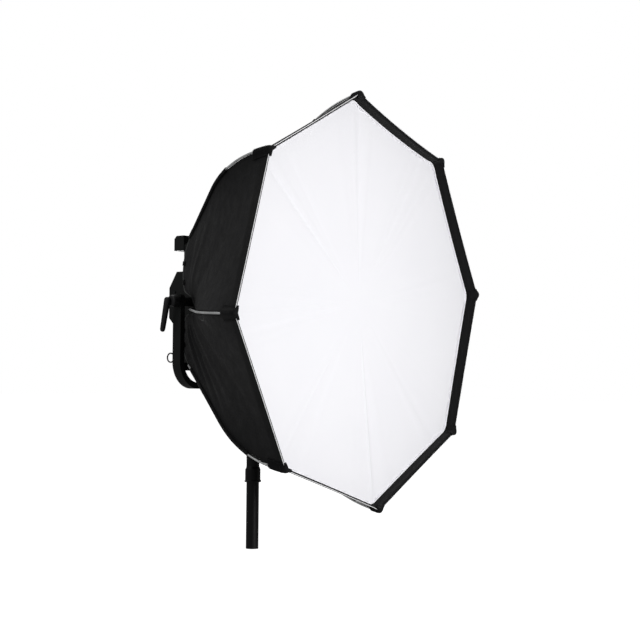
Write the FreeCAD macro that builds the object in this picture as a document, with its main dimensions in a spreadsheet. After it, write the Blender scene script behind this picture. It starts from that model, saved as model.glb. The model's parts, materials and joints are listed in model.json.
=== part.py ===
"""Studio softbox on an LED panel lamp, with its yoke and the top of its light stand.

Millimetres, +Z up. The origin is the centre of the riser tube's open lower end. The lamp faces
-Y, +X is to the right as seen from the front, and the tilt axis runs along X above the origin.
Head and yoke parts are drawn about the tilt axis and lifted by axis_height.
"""
import FreeCAD
import Part
import math
import os
import Sketcher

Vec = FreeCAD.Vector

SIZES = {
    # stand
    "axis_height": 739, "riser_od": 38.5, "riser_wall": 1.5, "riser_top": 246,
    "receiver_foot": 202, "receiver_top": 407, "receiver_od": 40, "collar_od": 47,
    "collar_height": 40, "bead_od": 51.5, "bead_height": 7, "knob_z": 315, "screw_dia": 10,
    "knob_wing": 62, "post_dia": 38,
    "spigot_dia": 28.6, "spigot_length": 96, "running_gap": 0.05,
    # yoke
    "yoke_half": 348, "yoke_bar": 18, "yoke_depth": 30, "yoke_drop": 252, "yoke_bend": 78,
    "yoke_rise": 22, "pivot_dia": 16, "washer_od": 27, "washer_thick": 3, "lever_hub_dia": 40,
    "lever_hub_thick": 26, "lever_reach": 96, "lever_back_angle": 12, "lever_dia": 17, "lever_out": 6,
    "eye_drop": 163, "eye_back": 30, "eye_radius": 13, "eye_wire": 4,
    # lamp
    "lamp_width": 536, "lamp_height": 352, "lamp_front": -45, "bezel_depth": 20,
    "window_width": 476, "window_height": 296, "lens_thick": 3, "housing_back": 48, "wall": 3,
    "rear_width": 380, "rear_height": 300, "rear_depth": 57, "board_y": -5, "board_thick": 3,
    "sink_base": 6, "fin_depth": 30, "fin_thick": 2, "fin_count": 23, "fan_size": 92,
    "fan_depth": 25, "fan_offset_x": 95, "fan_z": 78, "rotor_dia": 84, "panel_width": 250,
    "panel_height": 84, "panel_z": -76, "panel_thick": 5, "knob_dia": 22, "knob_depth": 15,
    "button_dia": 11, "button_travel": 1.5, "bracket_thick": 5, "boss_dia": 27,
    "handle_depth": 38, "handle_height": 44, "handle_bar": 14, "handle_z": 177, "handle_leg": 34,
    "handle_half": 270, "latch_x": 120,
    # softbox
    "octagon_radius": 600, "front_roll": 5.3, "front_distance": 434, "lip_depth": 28,
    "fabric": 2, "band_thick": 3, "baffle_depth": 205, "rod_dia": 6, "rod_standoff": 5.5,
    "straight_share": 0.45, "top_straight_share": 0.25, "corner_splay": 10.5, "side_splay": 8,
    "top_splay": 22,
    "socket_depth": 440, "top_socket_depth": 400, "corner_x": 289, "corner_top": 190, "corner_bottom": 184,
    "side_x": 290, "top_z": 200, "pinwheel": 21, "edge_gap": 6, "sleeve_dia": 10,
    "sleeve_length": 34, "arm_dia": 7, "frame_width": 524, "frame_height": 340,
    "frame_bar": 14, "frame_thick": 8, "frame_depth": 374,
}

EMITTER_PITCH = (41, 40)
BRACKET_OUTLINE = [(-20, -42), (-20, 40), (46, 92), (72, 92), (101, 45), (101, -44), (84, -62),
                   (10, -62)]
BRACKET_SCREWS = ((40, 78), (80, 30), (80, -30), (30, -50))
COVER_SCREW_X = (-170, -60, 60, 170)
BUTTON_X = (-4, 22)
KNOB_X = {"dimmer_knob": 62, "colour_knob": 100}
KNOB_SHAFT = 3
CONTROL_DROP = 6
PANEL_HOLES = [(x, KNOB_SHAFT + 0.3) for x in KNOB_X.values()] + [(x, 5.8) for x in BUTTON_X]
SWITCH_X, SWITCH_Z, SWITCH_WIDTH, SWITCH_PIN = -150, -76, 13, 1.2
SWITCH_LIFT = 2.8
SWITCH_BEZEL = (22, 5, 32)
SWITCH_WELL = (15, 5, 24)
ROCKER_OUTLINE = [(0.6, -10), (-1.2, -4), (-1.2, 4), (0.6, 10), (4.5, 10), (2.5, 0), (6.5, -10)]
INLET_Z, BRIDGE_Z = -118, -98
SOCKET_X, SOCKET_HEIGHTS = 152, (-60, -92, -124)
SHEET_THICKNESS = 1.5
LATCH_WIDTH, LATCH_PIN = 14, 4
LATCH_OUTLINE = [(-13.5, 4), (4, 4), (4, -4), (-9.5, -4), (-9.5, -20), (-13.5, -20)]
PANEL_STATIONS = (0, 0.1, 0.2, 0.3, 0.42, 0.55, 0.7, 0.85, 1)
POCKET_LENGTH, POCKET_RADIUS = 42, 5.2
BOSS_NOTCH = 17.5

doc = FreeCAD.newDocument("softbox")
sheet = doc.addObject("Spreadsheet::Sheet", "Sizes")
for row, (alias, number) in enumerate(SIZES.items(), start=1):
    sheet.set(f"A{row}", alias)
    sheet.set(f"B{row}", str(number))
    sheet.setAlias(f"B{row}", alias)
doc.recompute()


class Dim:
    """A length that knows both its value and the spreadsheet expression it comes from."""

    def __init__(self, value, text=None):
        self.value = float(value)
        self.text = text or repr(float(value))

    def _join(self, other, sign, value):
        return Dim(value, f"({self.text} {sign} {other.text})")

    def __add__(self, other):
        other = as_dim(other)
        return self._join(other, "+", self.value + other.value)

    def __sub__(self, other):
        other = as_dim(other)
        return self._join(other, "-", self.value - other.value)

    def __mul__(self, other):
        other = as_dim(other)
        return self._join(other, "*", self.value * other.value)

    def __truediv__(self, other):
        other = as_dim(other)
        return self._join(other, "/", self.value / other.value)

    def __neg__(self):
        return Dim(-self.value, f"(-1 * {self.text})")

    def __radd__(self, other):
        return as_dim(other) + self

    def __rsub__(self, other):
        return as_dim(other) - self

    def __rmul__(self, other):
        return as_dim(other) * self


def as_dim(number):
    return number if isinstance(number, Dim) else Dim(number)


class Sheet:
    """size.alias is the Dim of one spreadsheet cell."""

    def __getattr__(self, alias):
        return Dim(getattr(sheet, alias), f"Sizes.{alias}")


size = Sheet()
PARTS = []


def keep(obj, name):
    obj.Label = name
    PARTS.append(obj)
    return obj


def bind(obj, **props):
    for prop, dim in props.items():
        obj.setExpression(prop, as_dim(dim).text)


def place(obj, at, turn=None):
    """Put obj at a point whose coordinates are Dims, turned by (axis, degrees)."""
    at = [as_dim(value) for value in at]
    rotation = FreeCAD.Rotation(Vec(*turn[0]), turn[1]) if turn else FreeCAD.Rotation()
    obj.Placement = FreeCAD.Placement(Vec(*[value.value for value in at]), rotation)
    for axis, value in zip("xyz", at):
        obj.setExpression(f"Placement.Base.{axis}", value.text)
    return obj


def head(x, y, z):
    """A point given about the tilt axis."""
    return x, y, size.axis_height + z


# ---- Part primitives ------------------------------------------------------------------------

def box(dx, dy, dz, at):
    """A box whose centre is at a point."""
    obj = doc.addObject("Part::Box", "Box")
    bind(obj, Length=dx, Width=dy, Height=dz)
    corner = [as_dim(c) - as_dim(d) / 2 for c, d in zip(at, (dx, dy, dz))]
    return place(obj, corner)


TURNS = {"x": ((0, 1, 0), 90), "y": ((1, 0, 0), -90), "z": ((0, 0, 1), 0)}


def rod(radius, length, at, along="z"):
    """A cylinder that starts at a point and runs along +x, +y or +z."""
    obj = doc.addObject("Part::Cylinder", "Cylinder")
    bind(obj, Radius=radius, Height=length)
    return place(obj, at, TURNS[along])


def cut(base, tool):
    obj = doc.addObject("Part::Cut", "Cut")
    obj.Base, obj.Tool = base, tool
    return obj


def fuse(*shapes):
    obj = doc.addObject("Part::MultiFuse", "Fusion")
    obj.Shapes = list(shapes)
    return obj


def group(*shapes):
    """Separate solids that share one node."""
    obj = doc.addObject("Part::Compound", "Group")
    obj.Links = list(shapes)
    return obj


def feature(name, shape):
    obj = doc.addObject("Part::Feature", name)
    obj.Shape = shape
    return keep(obj, name)


# ---- PartDesign bodies ----------------------------------------------------------------------

def new_body(name, at=(0, 0, 0)):
    body = doc.addObject("PartDesign::Body", name)
    place(body, at)
    return keep(body, name)


def new_sketch(body, role, offset=0):
    """A sketch on one of the body's origin planes, moved along that plane's normal."""
    plane = next(o for o in body.Origin.OriginFeatures if o.Role == role)
    sketch = body.newObject("Sketcher::SketchObject", "Sketch")
    sketch.AttachmentSupport = [(plane, "")]
    sketch.MapMode = "FlatFace"
    sketch.setExpression("AttachmentOffset.Base.z", as_dim(offset).text)
    return sketch


def pin(sketch, geometry, corner, at):
    """Hold one point of the sketch at (x, y) from the origin."""
    for kind, value in zip(("DistanceX", "DistanceY"), at):
        value = as_dim(value)
        row = sketch.addConstraint(Sketcher.Constraint(kind, -1, 1, geometry, corner, value.value))
        sketch.setExpression(f"Constraints[{row}]", value.text)


def outline(sketch, points):
    """A closed outline of straight lines through the points."""
    points = [(as_dim(x), as_dim(y)) for x, y in points]
    places = [Vec(x.value, y.value, 0) for x, y in points]
    first = sketch.GeometryCount
    for start, end in zip(places, places[1:] + places[:1]):
        sketch.addGeometry(Part.LineSegment(start, end))
    for i, point in enumerate(points):
        nearby = first + (i - 1) % len(points)
        sketch.addConstraint(Sketcher.Constraint("Coincident", nearby, 2, first + i, 1))
        pin(sketch, first + i, 1, point)
    return sketch


def rectangle(sketch, width, height, x=0, y=0):
    x, y, half, rise = as_dim(x), as_dim(y), as_dim(width) / 2, as_dim(height) / 2
    return outline(sketch, [(x - half, y - rise), (x + half, y - rise),
                            (x + half, y + rise), (x - half, y + rise)])


def circle(sketch, radius, x=0, y=0):
    radius = as_dim(radius)
    centre = Vec(as_dim(x).value, as_dim(y).value, 0)
    geometry = sketch.addGeometry(Part.Circle(centre, Vec(0, 0, 1), radius.value))
    row = sketch.addConstraint(Sketcher.Constraint("Radius", geometry, radius.value))
    sketch.setExpression(f"Constraints[{row}]", radius.text)
    pin(sketch, geometry, 3, (x, y))
    return sketch


def pad(body, sketch, length, back=False, both=False):
    obj = body.newObject("PartDesign::Pad", "Pad")
    obj.Profile = sketch
    obj.Reversed = back
    obj.SideType = "Symmetric" if both else "One side"
    bind(obj, Length=length)
    return obj


def pocket(body, sketch, length, back=False, both=False):
    obj = body.newObject("PartDesign::Pocket", "Pocket")
    obj.Profile = sketch
    obj.Reversed = back
    obj.SideType = "Symmetric" if both else "One side"
    bind(obj, Length=length)
    return obj


def turned(body, sketch):
    """A full revolution of the sketch about its own vertical axis."""
    obj = body.newObject("PartDesign::Revolution", "Revolution")
    obj.Profile = sketch
    obj.ReferenceAxis = (sketch, ["V_Axis"])
    obj.Angle = 360
    return obj


def in_line(body, original, axis, length, count):
    """Repeat a feature along H_Axis or V_Axis of its own sketch."""
    obj = body.newObject("PartDesign::LinearPattern", "LinearPattern")
    obj.Originals = [original]
    obj.Direction = (original.Profile[0], [axis])
    bind(obj, Length=length, Occurrences=count)
    body.Tip = obj
    return obj


def in_ring(body, original, count):
    """Repeat a feature around its own sketch's normal."""
    obj = body.newObject("PartDesign::PolarPattern", "PolarPattern")
    obj.Originals = [original]
    obj.Axis = (original.Profile[0], ["N_Axis"])
    obj.Angle = 360
    obj.Occurrences = count
    body.Tip = obj
    return obj


def round_edges(body, radius, chosen, kind="Fillet"):
    """Fillet or chamfer the tip's edges for which chosen(edge) is true."""
    doc.recompute()
    tip = body.Tip
    names = [f"Edge{i}" for i, edge in enumerate(tip.Shape.Edges, start=1) if chosen(edge)]
    obj = body.newObject(f"PartDesign::{kind}", kind)
    obj.Base = (tip, names)
    if kind == "Fillet":
        bind(obj, Radius=radius)
    else:
        bind(obj, Size=radius)
    return obj


def along(axis, **limits):
    """A test for straight edges along an axis, with limits such as z=(low, high)."""
    def chosen(edge):
        if not isinstance(edge.Curve, Part.Line):
            return False
        direction = edge.Curve.Direction
        middle = edge.CenterOfMass
        return abs(getattr(direction, axis)) > 0.99 and all(
            low <= getattr(middle, name) <= high for name, (low, high) in limits.items())
    return chosen


# ---- stand ----------------------------------------------------------------------------------

def make_stand():
    """Riser tube, junior receiver and its lock knob."""
    riser = new_body("riser_tube")
    sketch = new_sketch(riser, "XY_Plane")
    circle(sketch, size.riser_od / 2)
    circle(sketch, size.riser_od / 2 - size.riser_wall)
    pad(riser, sketch, size.riser_top)

    receiver = new_body("receiver")
    sketch = new_sketch(receiver, "XZ_Plane")
    outer, collar, bead = size.receiver_od / 2, size.collar_od / 2, size.bead_od / 2
    bore = size.riser_od / 2
    socket = size.spigot_dia / 2 + size.running_gap
    foot, top = size.receiver_foot, size.receiver_top
    socket_floor = top - size.spigot_length - 4
    outline(sketch, [
        (bore, foot), (bead - 2, foot), (bead, foot + 2), (bead, foot + size.bead_height - 2),
        (collar, foot + size.bead_height), (collar, foot + size.collar_height),
        (outer, foot + size.collar_height + 8), (outer, top - 2), (outer - 2, top),
        (socket, top), (socket, socket_floor), (bore - 4, socket_floor),
        (bore - 4, size.riser_top), (bore, size.riser_top)])
    turned(receiver, sketch)
    sketch = new_sketch(receiver, "YZ_Plane")
    circle(sketch, size.screw_dia / 2 + size.running_gap, 0, size.knob_z)
    pocket(receiver, sketch, size.collar_od, back=True)

    screw = rod(size.screw_dia / 2, 24, (socket + 0.3, 0, size.knob_z), "x")
    hub = rod(11, 20, (outer + 4, 0, size.knob_z), "x")
    wing = box(8, 12, size.knob_wing, (outer + 28, 0, size.knob_z - size.knob_wing / 2 + 6))
    keep(fuse(screw, hub, wing), "receiver_knob")


# ---- yoke -----------------------------------------------------------------------------------

def make_yoke():
    """U-shaped yoke with its spigot, tilt bolts, clamp lever and safety eye."""
    out, bar, drop, rise = size.yoke_half, size.yoke_bar, size.yoke_drop, size.yoke_rise
    yoke = new_body("yoke", head(0, 0, 0))
    sketch = new_sketch(yoke, "XZ_Plane")
    outline(sketch, [(-out, rise), (-out, -drop), (out, -drop), (out, rise),
                     (out - bar, rise), (out - bar, bar - drop), (bar - out, bar - drop),
                     (bar - out, rise)])
    pad(yoke, sketch, size.yoke_depth, both=True)
    low = -drop.value
    outer = along("y", z=(low - 1, low + 1))
    inner = along("y", z=(low + bar.value - 1, low + bar.value + 1))
    round_edges(yoke, size.yoke_bend, outer)
    round_edges(yoke, size.yoke_bend - bar, inner)
    round_edges(yoke, 13, along("x", z=(rise.value - 1, rise.value + 1)))
    sketch = new_sketch(yoke, "YZ_Plane")
    circle(sketch, size.pivot_dia / 2 + size.running_gap)
    pocket(yoke, sketch, 2 * out + 10, both=True)
    sketch = new_sketch(yoke, "XY_Plane", -drop - 1)
    circle(sketch, 6)
    pocket(yoke, sketch, bar + 2, back=True)

    left = bar - out
    ring = size.washer_od / 2, size.washer_thick
    bore = size.pivot_dia / 2 + size.running_gap
    washers = []
    for start in (left, -left - size.washer_thick):
        disc = rod(ring[0], ring[1], head(start, 0, 0), "x")
        hole = rod(bore, ring[1], head(start, 0, 0), "x")
        washers.append(cut(disc, hole))
    keep(group(*washers), "friction_washers")

    # clamp lever side: the bolt turns with the lever
    bolt_reach = bar + size.washer_thick + 20
    hub_at = -out - 0.5 - size.lever_hub_thick
    shank_start = hub_at + size.lever_hub_thick - 3
    shank = rod(size.pivot_dia / 2, bolt_reach + 3.5, head(shank_start, 0, 0), "x")
    keep(shank, "tilt_bolt_left")
    lever = new_body("tilt_lever", head(hub_at, 0, 0))
    sketch = new_sketch(lever, "YZ_Plane")
    circle(sketch, size.lever_hub_dia / 2)
    pad(lever, sketch, size.lever_hub_thick)
    sketch = new_sketch(lever, "YZ_Plane", -size.lever_out)
    reach, half_arm = size.lever_reach, size.lever_dia / 2
    outline(sketch, [(-half_arm, 0), (half_arm, 0), (half_arm - 1, -reach), (1 - half_arm, -reach)])
    pad(lever, sketch, size.lever_dia)
    round_edges(lever, 5, along("x", z=(-reach.value - 1, -reach.value + 1)))
    sketch = new_sketch(lever, "YZ_Plane", size.lever_hub_thick)
    circle(sketch, size.pivot_dia / 2)
    pocket(lever, sketch, 3)
    lever.Placement.Rotation = FreeCAD.Rotation(Vec(1, 0, 0), size.lever_back_angle.value)

    head_bolt = rod(size.pivot_dia / 2, bolt_reach + 1, head(out - bolt_reach, 0, 0), "x")
    cap = rod(13, 9, head(out + 0.5, 0, 0), "x")
    keep(fuse(head_bolt, cap), "tilt_bolt_right")

    eye_ring = doc.addObject("Part::Torus", "Torus")
    bind(eye_ring, Radius1=size.eye_radius, Radius2=size.eye_wire / 2)
    arm_middle = bar / 2 - out
    place(eye_ring, head(arm_middle, size.eye_back, -size.eye_drop), ((0, 1, 0), 90))
    foot = rod(5, size.eye_back - size.eye_radius - size.yoke_depth / 2,
               head(arm_middle, size.yoke_depth / 2, -size.eye_drop), "y")
    keep(fuse(eye_ring, foot), "safety_eye")

    spigot_top = size.axis_height - drop
    spigot = new_body("spigot", (0, 0, spigot_top))
    sketch = new_sketch(spigot, "XZ_Plane")
    radius, post = size.spigot_dia / 2, size.post_dia / 2
    shoulder = size.receiver_top + 0.3 - spigot_top
    end = shoulder - size.spigot_length
    outline(sketch, [(0, 0), (post + 7, 0), (post + 7, -8), (post, -10), (post, shoulder),
                     (radius, shoulder), (radius, end + 32), (radius - 3, end + 28),
                     (radius - 3, end + 14), (radius, end + 10), (radius, end + 3),
                     (radius - 3, end), (0, end)])
    turned(spigot, sketch)
    bolt_head = rod(9, 7, head(0, 0, bar - drop), "z")
    bolt_shank = rod(5.9, bar, head(0, 0, -drop), "z")
    keep(fuse(bolt_head, bolt_shank), "spigot_bolt")


# ---- lamp -----------------------------------------------------------------------------------

def make_lamp_front():
    """Bezel, lens, LED board with its emitters, heat sink."""
    width, height, front = size.lamp_width, size.lamp_height, size.lamp_front
    bezel = new_body("front_bezel", head(0, front, 0))
    sketch = new_sketch(bezel, "XZ_Plane")
    rectangle(sketch, width, height)
    rectangle(sketch, size.window_width, size.window_height)
    pad(bezel, sketch, size.bezel_depth, back=True)
    round_edges(bezel, 8, along("y", z=(height.value / 2 - 1, height.value)))
    for side in (-1, 1):
        middle = size.latch_x + side * (LATCH_WIDTH / 2 + 2)
        sketch = new_sketch(bezel, "YZ_Plane", middle - 1.25)
        top = height / 2
        outline(sketch, [(-11, top - 3), (1, top - 3), (10, top - 3), (10, top), (0, top + 7),
                         (-11, top + 7)])
        pad(bezel, sketch, 2.5)
    sketch = new_sketch(bezel, "YZ_Plane", size.latch_x)
    circle(sketch, LATCH_PIN / 2 + size.running_gap, -6, height / 2 + 2)
    pocket(bezel, sketch, LATCH_WIDTH + 12, both=True)

    lens_y = front + size.bezel_depth + size.lens_thick / 2
    lens = box(size.window_width + 12, size.lens_thick, size.window_height + 12, head(0, lens_y, 0))
    keep(lens, "lens_sheet")

    board = new_body("led_board", head(0, size.board_y, 0))
    sketch = new_sketch(board, "XZ_Plane")
    rectangle(sketch, size.window_width - 6, size.window_height - 6)
    pad(board, sketch, size.board_thick, back=True)
    sketch = new_sketch(board, "XZ_Plane")
    for column in range(-5, 6):
        for row in range(-3, 4):
            circle(sketch, 7, EMITTER_PITCH[0] * column, EMITTER_PITCH[1] * row)
    pad(board, sketch, 2)

    sink = new_body("heat_sink", head(0, size.board_y + size.board_thick, 0))
    sketch = new_sketch(sink, "XZ_Plane")
    rectangle(sketch, size.window_width - 6, size.window_height - 6)
    pad(sink, sketch, size.sink_base, back=True)
    sketch = new_sketch(sink, "XZ_Plane", -size.sink_base)
    run = size.window_width - 30
    rectangle(sketch, size.fin_thick, size.window_height - 26, -run / 2, 0)
    fin = pad(sink, sketch, size.fin_depth, back=True)
    in_line(sink, fin, "H_Axis", run, size.fin_count)


def make_housing():
    """Main housing, rear electronics box, handles, side brackets and screws."""
    width, height, wall = size.lamp_width, size.lamp_height, size.wall
    start = size.lamp_front + size.bezel_depth
    depth = size.housing_back - start
    main = new_body("main_housing", head(0, start, 0))
    sketch = new_sketch(main, "XZ_Plane")
    rectangle(sketch, width, height)
    pad(main, sketch, depth, back=True)
    sketch = new_sketch(main, "XZ_Plane")
    rectangle(sketch, width - 2 * wall, height - 2 * wall)
    pocket(main, sketch, depth - wall)
    sketch = new_sketch(main, "XZ_Plane", wall - depth)
    rectangle(sketch, size.rear_width - 60, size.rear_height - 60)
    pocket(main, sketch, wall)
    round_edges(main, 8, along("y", z=(height.value / 2 - 1, height.value)))
    sketch = new_sketch(main, "XY_Plane", -height / 2)
    rectangle(sketch, 4, 34, -180, depth / 2)
    slot = pocket(main, sketch, height + 2, back=True)
    in_line(main, slot, "H_Axis", 360, 25)

    rear = new_body("rear_cover", head(0, size.housing_back, 0))
    sketch = new_sketch(rear, "XZ_Plane")
    rectangle(sketch, size.rear_width, size.rear_height)
    pad(rear, sketch, size.rear_depth, back=True)
    round_edges(rear, 14, along("y"))
    sketch = new_sketch(rear, "XZ_Plane")
    rectangle(sketch, size.rear_width - 30, size.rear_height - 30)
    pocket(rear, sketch, size.rear_depth - wall)
    sketch = new_sketch(rear, "XZ_Plane", wall - size.rear_depth)
    for side in (-1, 1):
        for ring in range(-4, 5):
            rectangle(sketch, 76 - 2.4 * ring * ring, 4, side * size.fan_offset_x,
                      size.fan_z + 9 * ring)
    pocket(rear, sketch, wall)

    handle_y = size.housing_back
    for side in (1, -1):
        name = "upper_handle" if side > 0 else "lower_handle"
        middle = side * size.handle_z
        handle = new_body(name, head(0, handle_y, middle - size.handle_height / 2))
        sketch = new_sketch(handle, "XY_Plane")
        out, leg, reach = size.handle_half, size.handle_leg, size.handle_depth
        inside = reach - size.handle_bar
        outline(sketch, [(-out, 0), (-out, reach), (out, reach), (out, 0), (out - leg, 0),
                         (out - leg, inside), (leg - out, inside), (leg - out, 0)])
        pad(handle, sketch, size.handle_height)
        top = size.handle_height.value if side > 0 else 0
        edge = along("x", y=(reach.value - 1, reach.value + 1), z=(top - 1, top + 1))
        round_edges(handle, 9, edge, "Chamfer")

    inner = width / 2
    for side, name in ((-1, "side_bracket_left"), (1, "side_bracket_right")):
        bracket = new_body(name, head(side * inner, 0, 0))
        sketch = new_sketch(bracket, "YZ_Plane")
        outline(sketch, BRACKET_OUTLINE)
        pad(bracket, sketch, size.bracket_thick, back=side < 0)
        boss = size.yoke_half - size.yoke_bar - size.washer_thick - inner - 0.3
        sketch = new_sketch(bracket, "YZ_Plane")
        circle(sketch, size.boss_dia / 2)
        pad(bracket, sketch, boss, back=side < 0)
        sketch = new_sketch(bracket, "YZ_Plane")
        circle(sketch, size.pivot_dia / 2 + size.running_gap)
        pocket(bracket, sketch, 2 * boss, both=True)

    screws = []
    for x in COVER_SCREW_X:
        for side in (-1, 1):
            screws.append(rod(3.5, 2.5, head(x, size.housing_back + size.rear_depth,
                                             side * (size.rear_height / 2 - 12)), "y"))
    for side in (-1, 1):
        for y, z in BRACKET_SCREWS:
            start = -1 * inner - size.bracket_thick - 3 if side < 0 else inner + size.bracket_thick
            screws.append(rod(4.5, 3, head(start, y, z), "x"))
    keep(group(*screws), "cover_screws")


def make_electronics():
    """Power supply, fans, control panel with its knobs, buttons, switch and sockets."""
    back = size.housing_back + size.rear_depth
    supply = box(210, 40, 96, head(0, size.housing_back + 24, -84))
    keep(supply, "power_supply")

    fan_back = back - size.wall
    frames = []
    for side, name in ((-1, "fan_rotor_left"), (1, "fan_rotor_right")):
        x = side * size.fan_offset_x
        frame = box(size.fan_size, size.fan_depth, size.fan_size,
                    head(x, fan_back - size.fan_depth / 2, size.fan_z))
        hole = rod(size.rotor_dia / 2 + 2, size.fan_depth, head(x, fan_back - size.fan_depth,
                                                               size.fan_z), "y")
        spokes = box(size.rotor_dia + 4, 2, 8, head(x, fan_back - size.fan_depth + 1, size.fan_z))
        motor = rod(14, 3, head(x, fan_back - size.fan_depth, size.fan_z), "y")
        frames.append(fuse(cut(frame, hole), spokes, motor))
        rotor = new_body(name, head(x, fan_back - 3, size.fan_z))
        sketch = new_sketch(rotor, "XZ_Plane")
        circle(sketch, 17)
        pad(rotor, sketch, size.fan_depth - 7)
        sketch = new_sketch(rotor, "XZ_Plane", 3)
        rectangle(sketch, size.rotor_dia / 2 - 14, 2.5, size.rotor_dia / 4 + 7, 0)
        blade = pad(rotor, sketch, size.fan_depth - 13)
        in_ring(rotor, blade, 7)
    keep(group(*frames), "fan_frames")

    panel = new_body("control_panel", head(0, back, size.panel_z))
    sketch = new_sketch(panel, "XZ_Plane")
    rectangle(sketch, size.panel_width, size.panel_height)
    pad(panel, sketch, size.panel_thick, back=True)
    round_edges(panel, 6, along("y"))
    sketch = new_sketch(panel, "XZ_Plane", 4 - size.panel_thick)
    for x, radius in PANEL_HOLES:
        circle(sketch, radius, x, -CONTROL_DROP)
    pocket(panel, sketch, 4)

    face = back + size.panel_thick
    screen = box(72, 1.5, 44, head(-58, face + 0.75, size.panel_z + 8))
    keep(screen, "display_window")
    for name, x in KNOB_X.items():
        knob = new_body(name, head(x, face + 0.3, size.panel_z - CONTROL_DROP))
        sketch = new_sketch(knob, "XZ_Plane")
        circle(sketch, size.knob_dia / 2)
        pad(knob, sketch, size.knob_depth, back=True)
        sketch = new_sketch(knob, "XZ_Plane")
        circle(sketch, KNOB_SHAFT)
        pad(knob, sketch, 3)
        sketch = new_sketch(knob, "XZ_Plane", -2)
        circle(sketch, 0.8, size.knob_dia / 2, 0)
        flute = pocket(knob, sketch, size.knob_depth)
        in_ring(knob, flute, 20)
    for i, x in enumerate(BUTTON_X, start=1):
        button = rod(size.button_dia / 2, 6, head(x, face - 3.7 + size.button_travel,
                                                  size.panel_z - CONTROL_DROP), "y")
        keep(button, f"button_{i}")

    pivot = head(SWITCH_X, back + SWITCH_LIFT, SWITCH_Z)
    rocker = new_body("power_switch", pivot)
    sketch = new_sketch(rocker, "YZ_Plane")
    outline(sketch, ROCKER_OUTLINE)
    pad(rocker, sketch, SWITCH_WIDTH, both=True)
    sketch = new_sketch(rocker, "YZ_Plane")
    circle(sketch, SWITCH_PIN)
    pad(rocker, sketch, SWITCH_WIDTH + 5, both=True)
    middle = head(SWITCH_X, back + as_dim(SWITCH_BEZEL[1]) / 2, SWITCH_Z)
    bezel = cut(box(*SWITCH_BEZEL, middle), box(*SWITCH_WELL, middle))
    reach = SWITCH_WIDTH + 5.2
    bore = rod(SWITCH_PIN + size.running_gap, reach, (SWITCH_X - reach / 2, *pivot[1:]), "x")
    bezel = cut(bezel, bore)
    inlet_body = box(30, 8, 26, head(SWITCH_X, back + 4, INLET_Z))
    inlet_well = box(22, 6, 17, head(SWITCH_X, back + 5, INLET_Z))
    bridge = box(22, 4, 12, head(SWITCH_X, back + 2, BRIDGE_Z))
    keep(fuse(bezel, bridge, cut(inlet_body, inlet_well)), "power_inlet")
    sockets = []
    for z in SOCKET_HEIGHTS:
        shell = rod(12, 6, head(SOCKET_X, back, z), "y")
        well = rod(9, 5, head(SOCKET_X, back + 1, z), "y")
        sockets.append(cut(shell, well))
    keep(group(*sockets), "data_sockets")


# ---- softbox --------------------------------------------------------------------------------

class RodLine:
    """Centre line of one rod: straight out of its socket, then one arc to the corner pocket."""

    def __init__(self, number):
        side_rod, top_rod = number in (3, 7), number in (1, 5)
        turn = math.radians(90 + size.front_roll.value - 45 * (number - 1))
        reach = size.octagon_radius.value + size.rod_standoff.value
        self.tip = Vec(reach * math.cos(turn), 0, reach * math.sin(turn))
        left = -1 if number in (6, 7, 8) else 1
        low = -1 if number in (4, 5, 6) else 1
        shift = size.pinwheel.value
        straight = size.top_straight_share if top_rod else size.straight_share
        depth = size.socket_depth.value
        if top_rod:
            depth = size.top_socket_depth.value
            self.root = Vec(-low * shift, depth, low * size.top_z.value)
            splay = size.top_splay.value
        elif side_rod:
            self.root = Vec(left * size.side_x.value, depth, left * shift)
            splay = size.side_splay.value
        else:
            rise = size.corner_top.value if low > 0 else -size.corner_bottom.value
            self.root = Vec(left * size.corner_x.value, depth, rise)
            splay = size.corner_splay.value
        across = Vec(self.tip.x - self.root.x, 0, self.tip.z - self.root.z)
        self.outward = Vec(across).normalize()
        span, depth = across.Length, self.root.y
        angle = math.atan2(span, depth) + math.radians(splay)
        self.slope = (math.sin(angle), math.cos(angle))
        run = straight.value * math.hypot(span, depth)
        self.knee = (run * self.slope[0], run * self.slope[1])
        rest = (span - self.knee[0], depth - self.knee[1])
        bend = angle - math.atan2(*rest)
        self.radius = math.hypot(*rest) / (2 * math.sin(bend))
        self.centre = (self.knee[0] - self.radius * self.slope[1],
                       self.knee[1] + self.radius * self.slope[0])

    def at(self, forward, inset=0):
        """Point a given distance forward of the socket, or inset under the rod there."""
        if forward <= self.knee[1]:
            out = forward * self.slope[0] / self.slope[1]
            lean = self.slope[1]
        else:
            rise = math.sqrt(self.radius ** 2 - (forward - self.centre[1]) ** 2)
            out = self.centre[0] + rise
            lean = rise / self.radius
        point = Vec(self.root.x + out * self.outward.x, self.root.y - forward,
                    self.root.z + out * self.outward.z)
        axial = math.hypot(point.x, point.z)
        scale = 1 - inset / (axial * lean)
        return Vec(point.x * scale, point.y, point.z * scale)

    def along_start(self, distance):
        return self.at(distance * self.slope[1])


def to_part(point):
    """From depth behind the lip and height about the tilt axis to the part's frame."""
    return Vec(point.x, point.y - size.front_distance.value, point.z + size.axis_height.value)


def skin(lines, share, inset):
    """The eight fabric corners at a share of the way from the lip to the rear edge."""
    corners = []
    for line in lines:
        full = line.root.y - size.edge_gap.value
        corners.append(to_part(line.at(line.root.y - share * full, inset)))
    return corners


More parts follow.
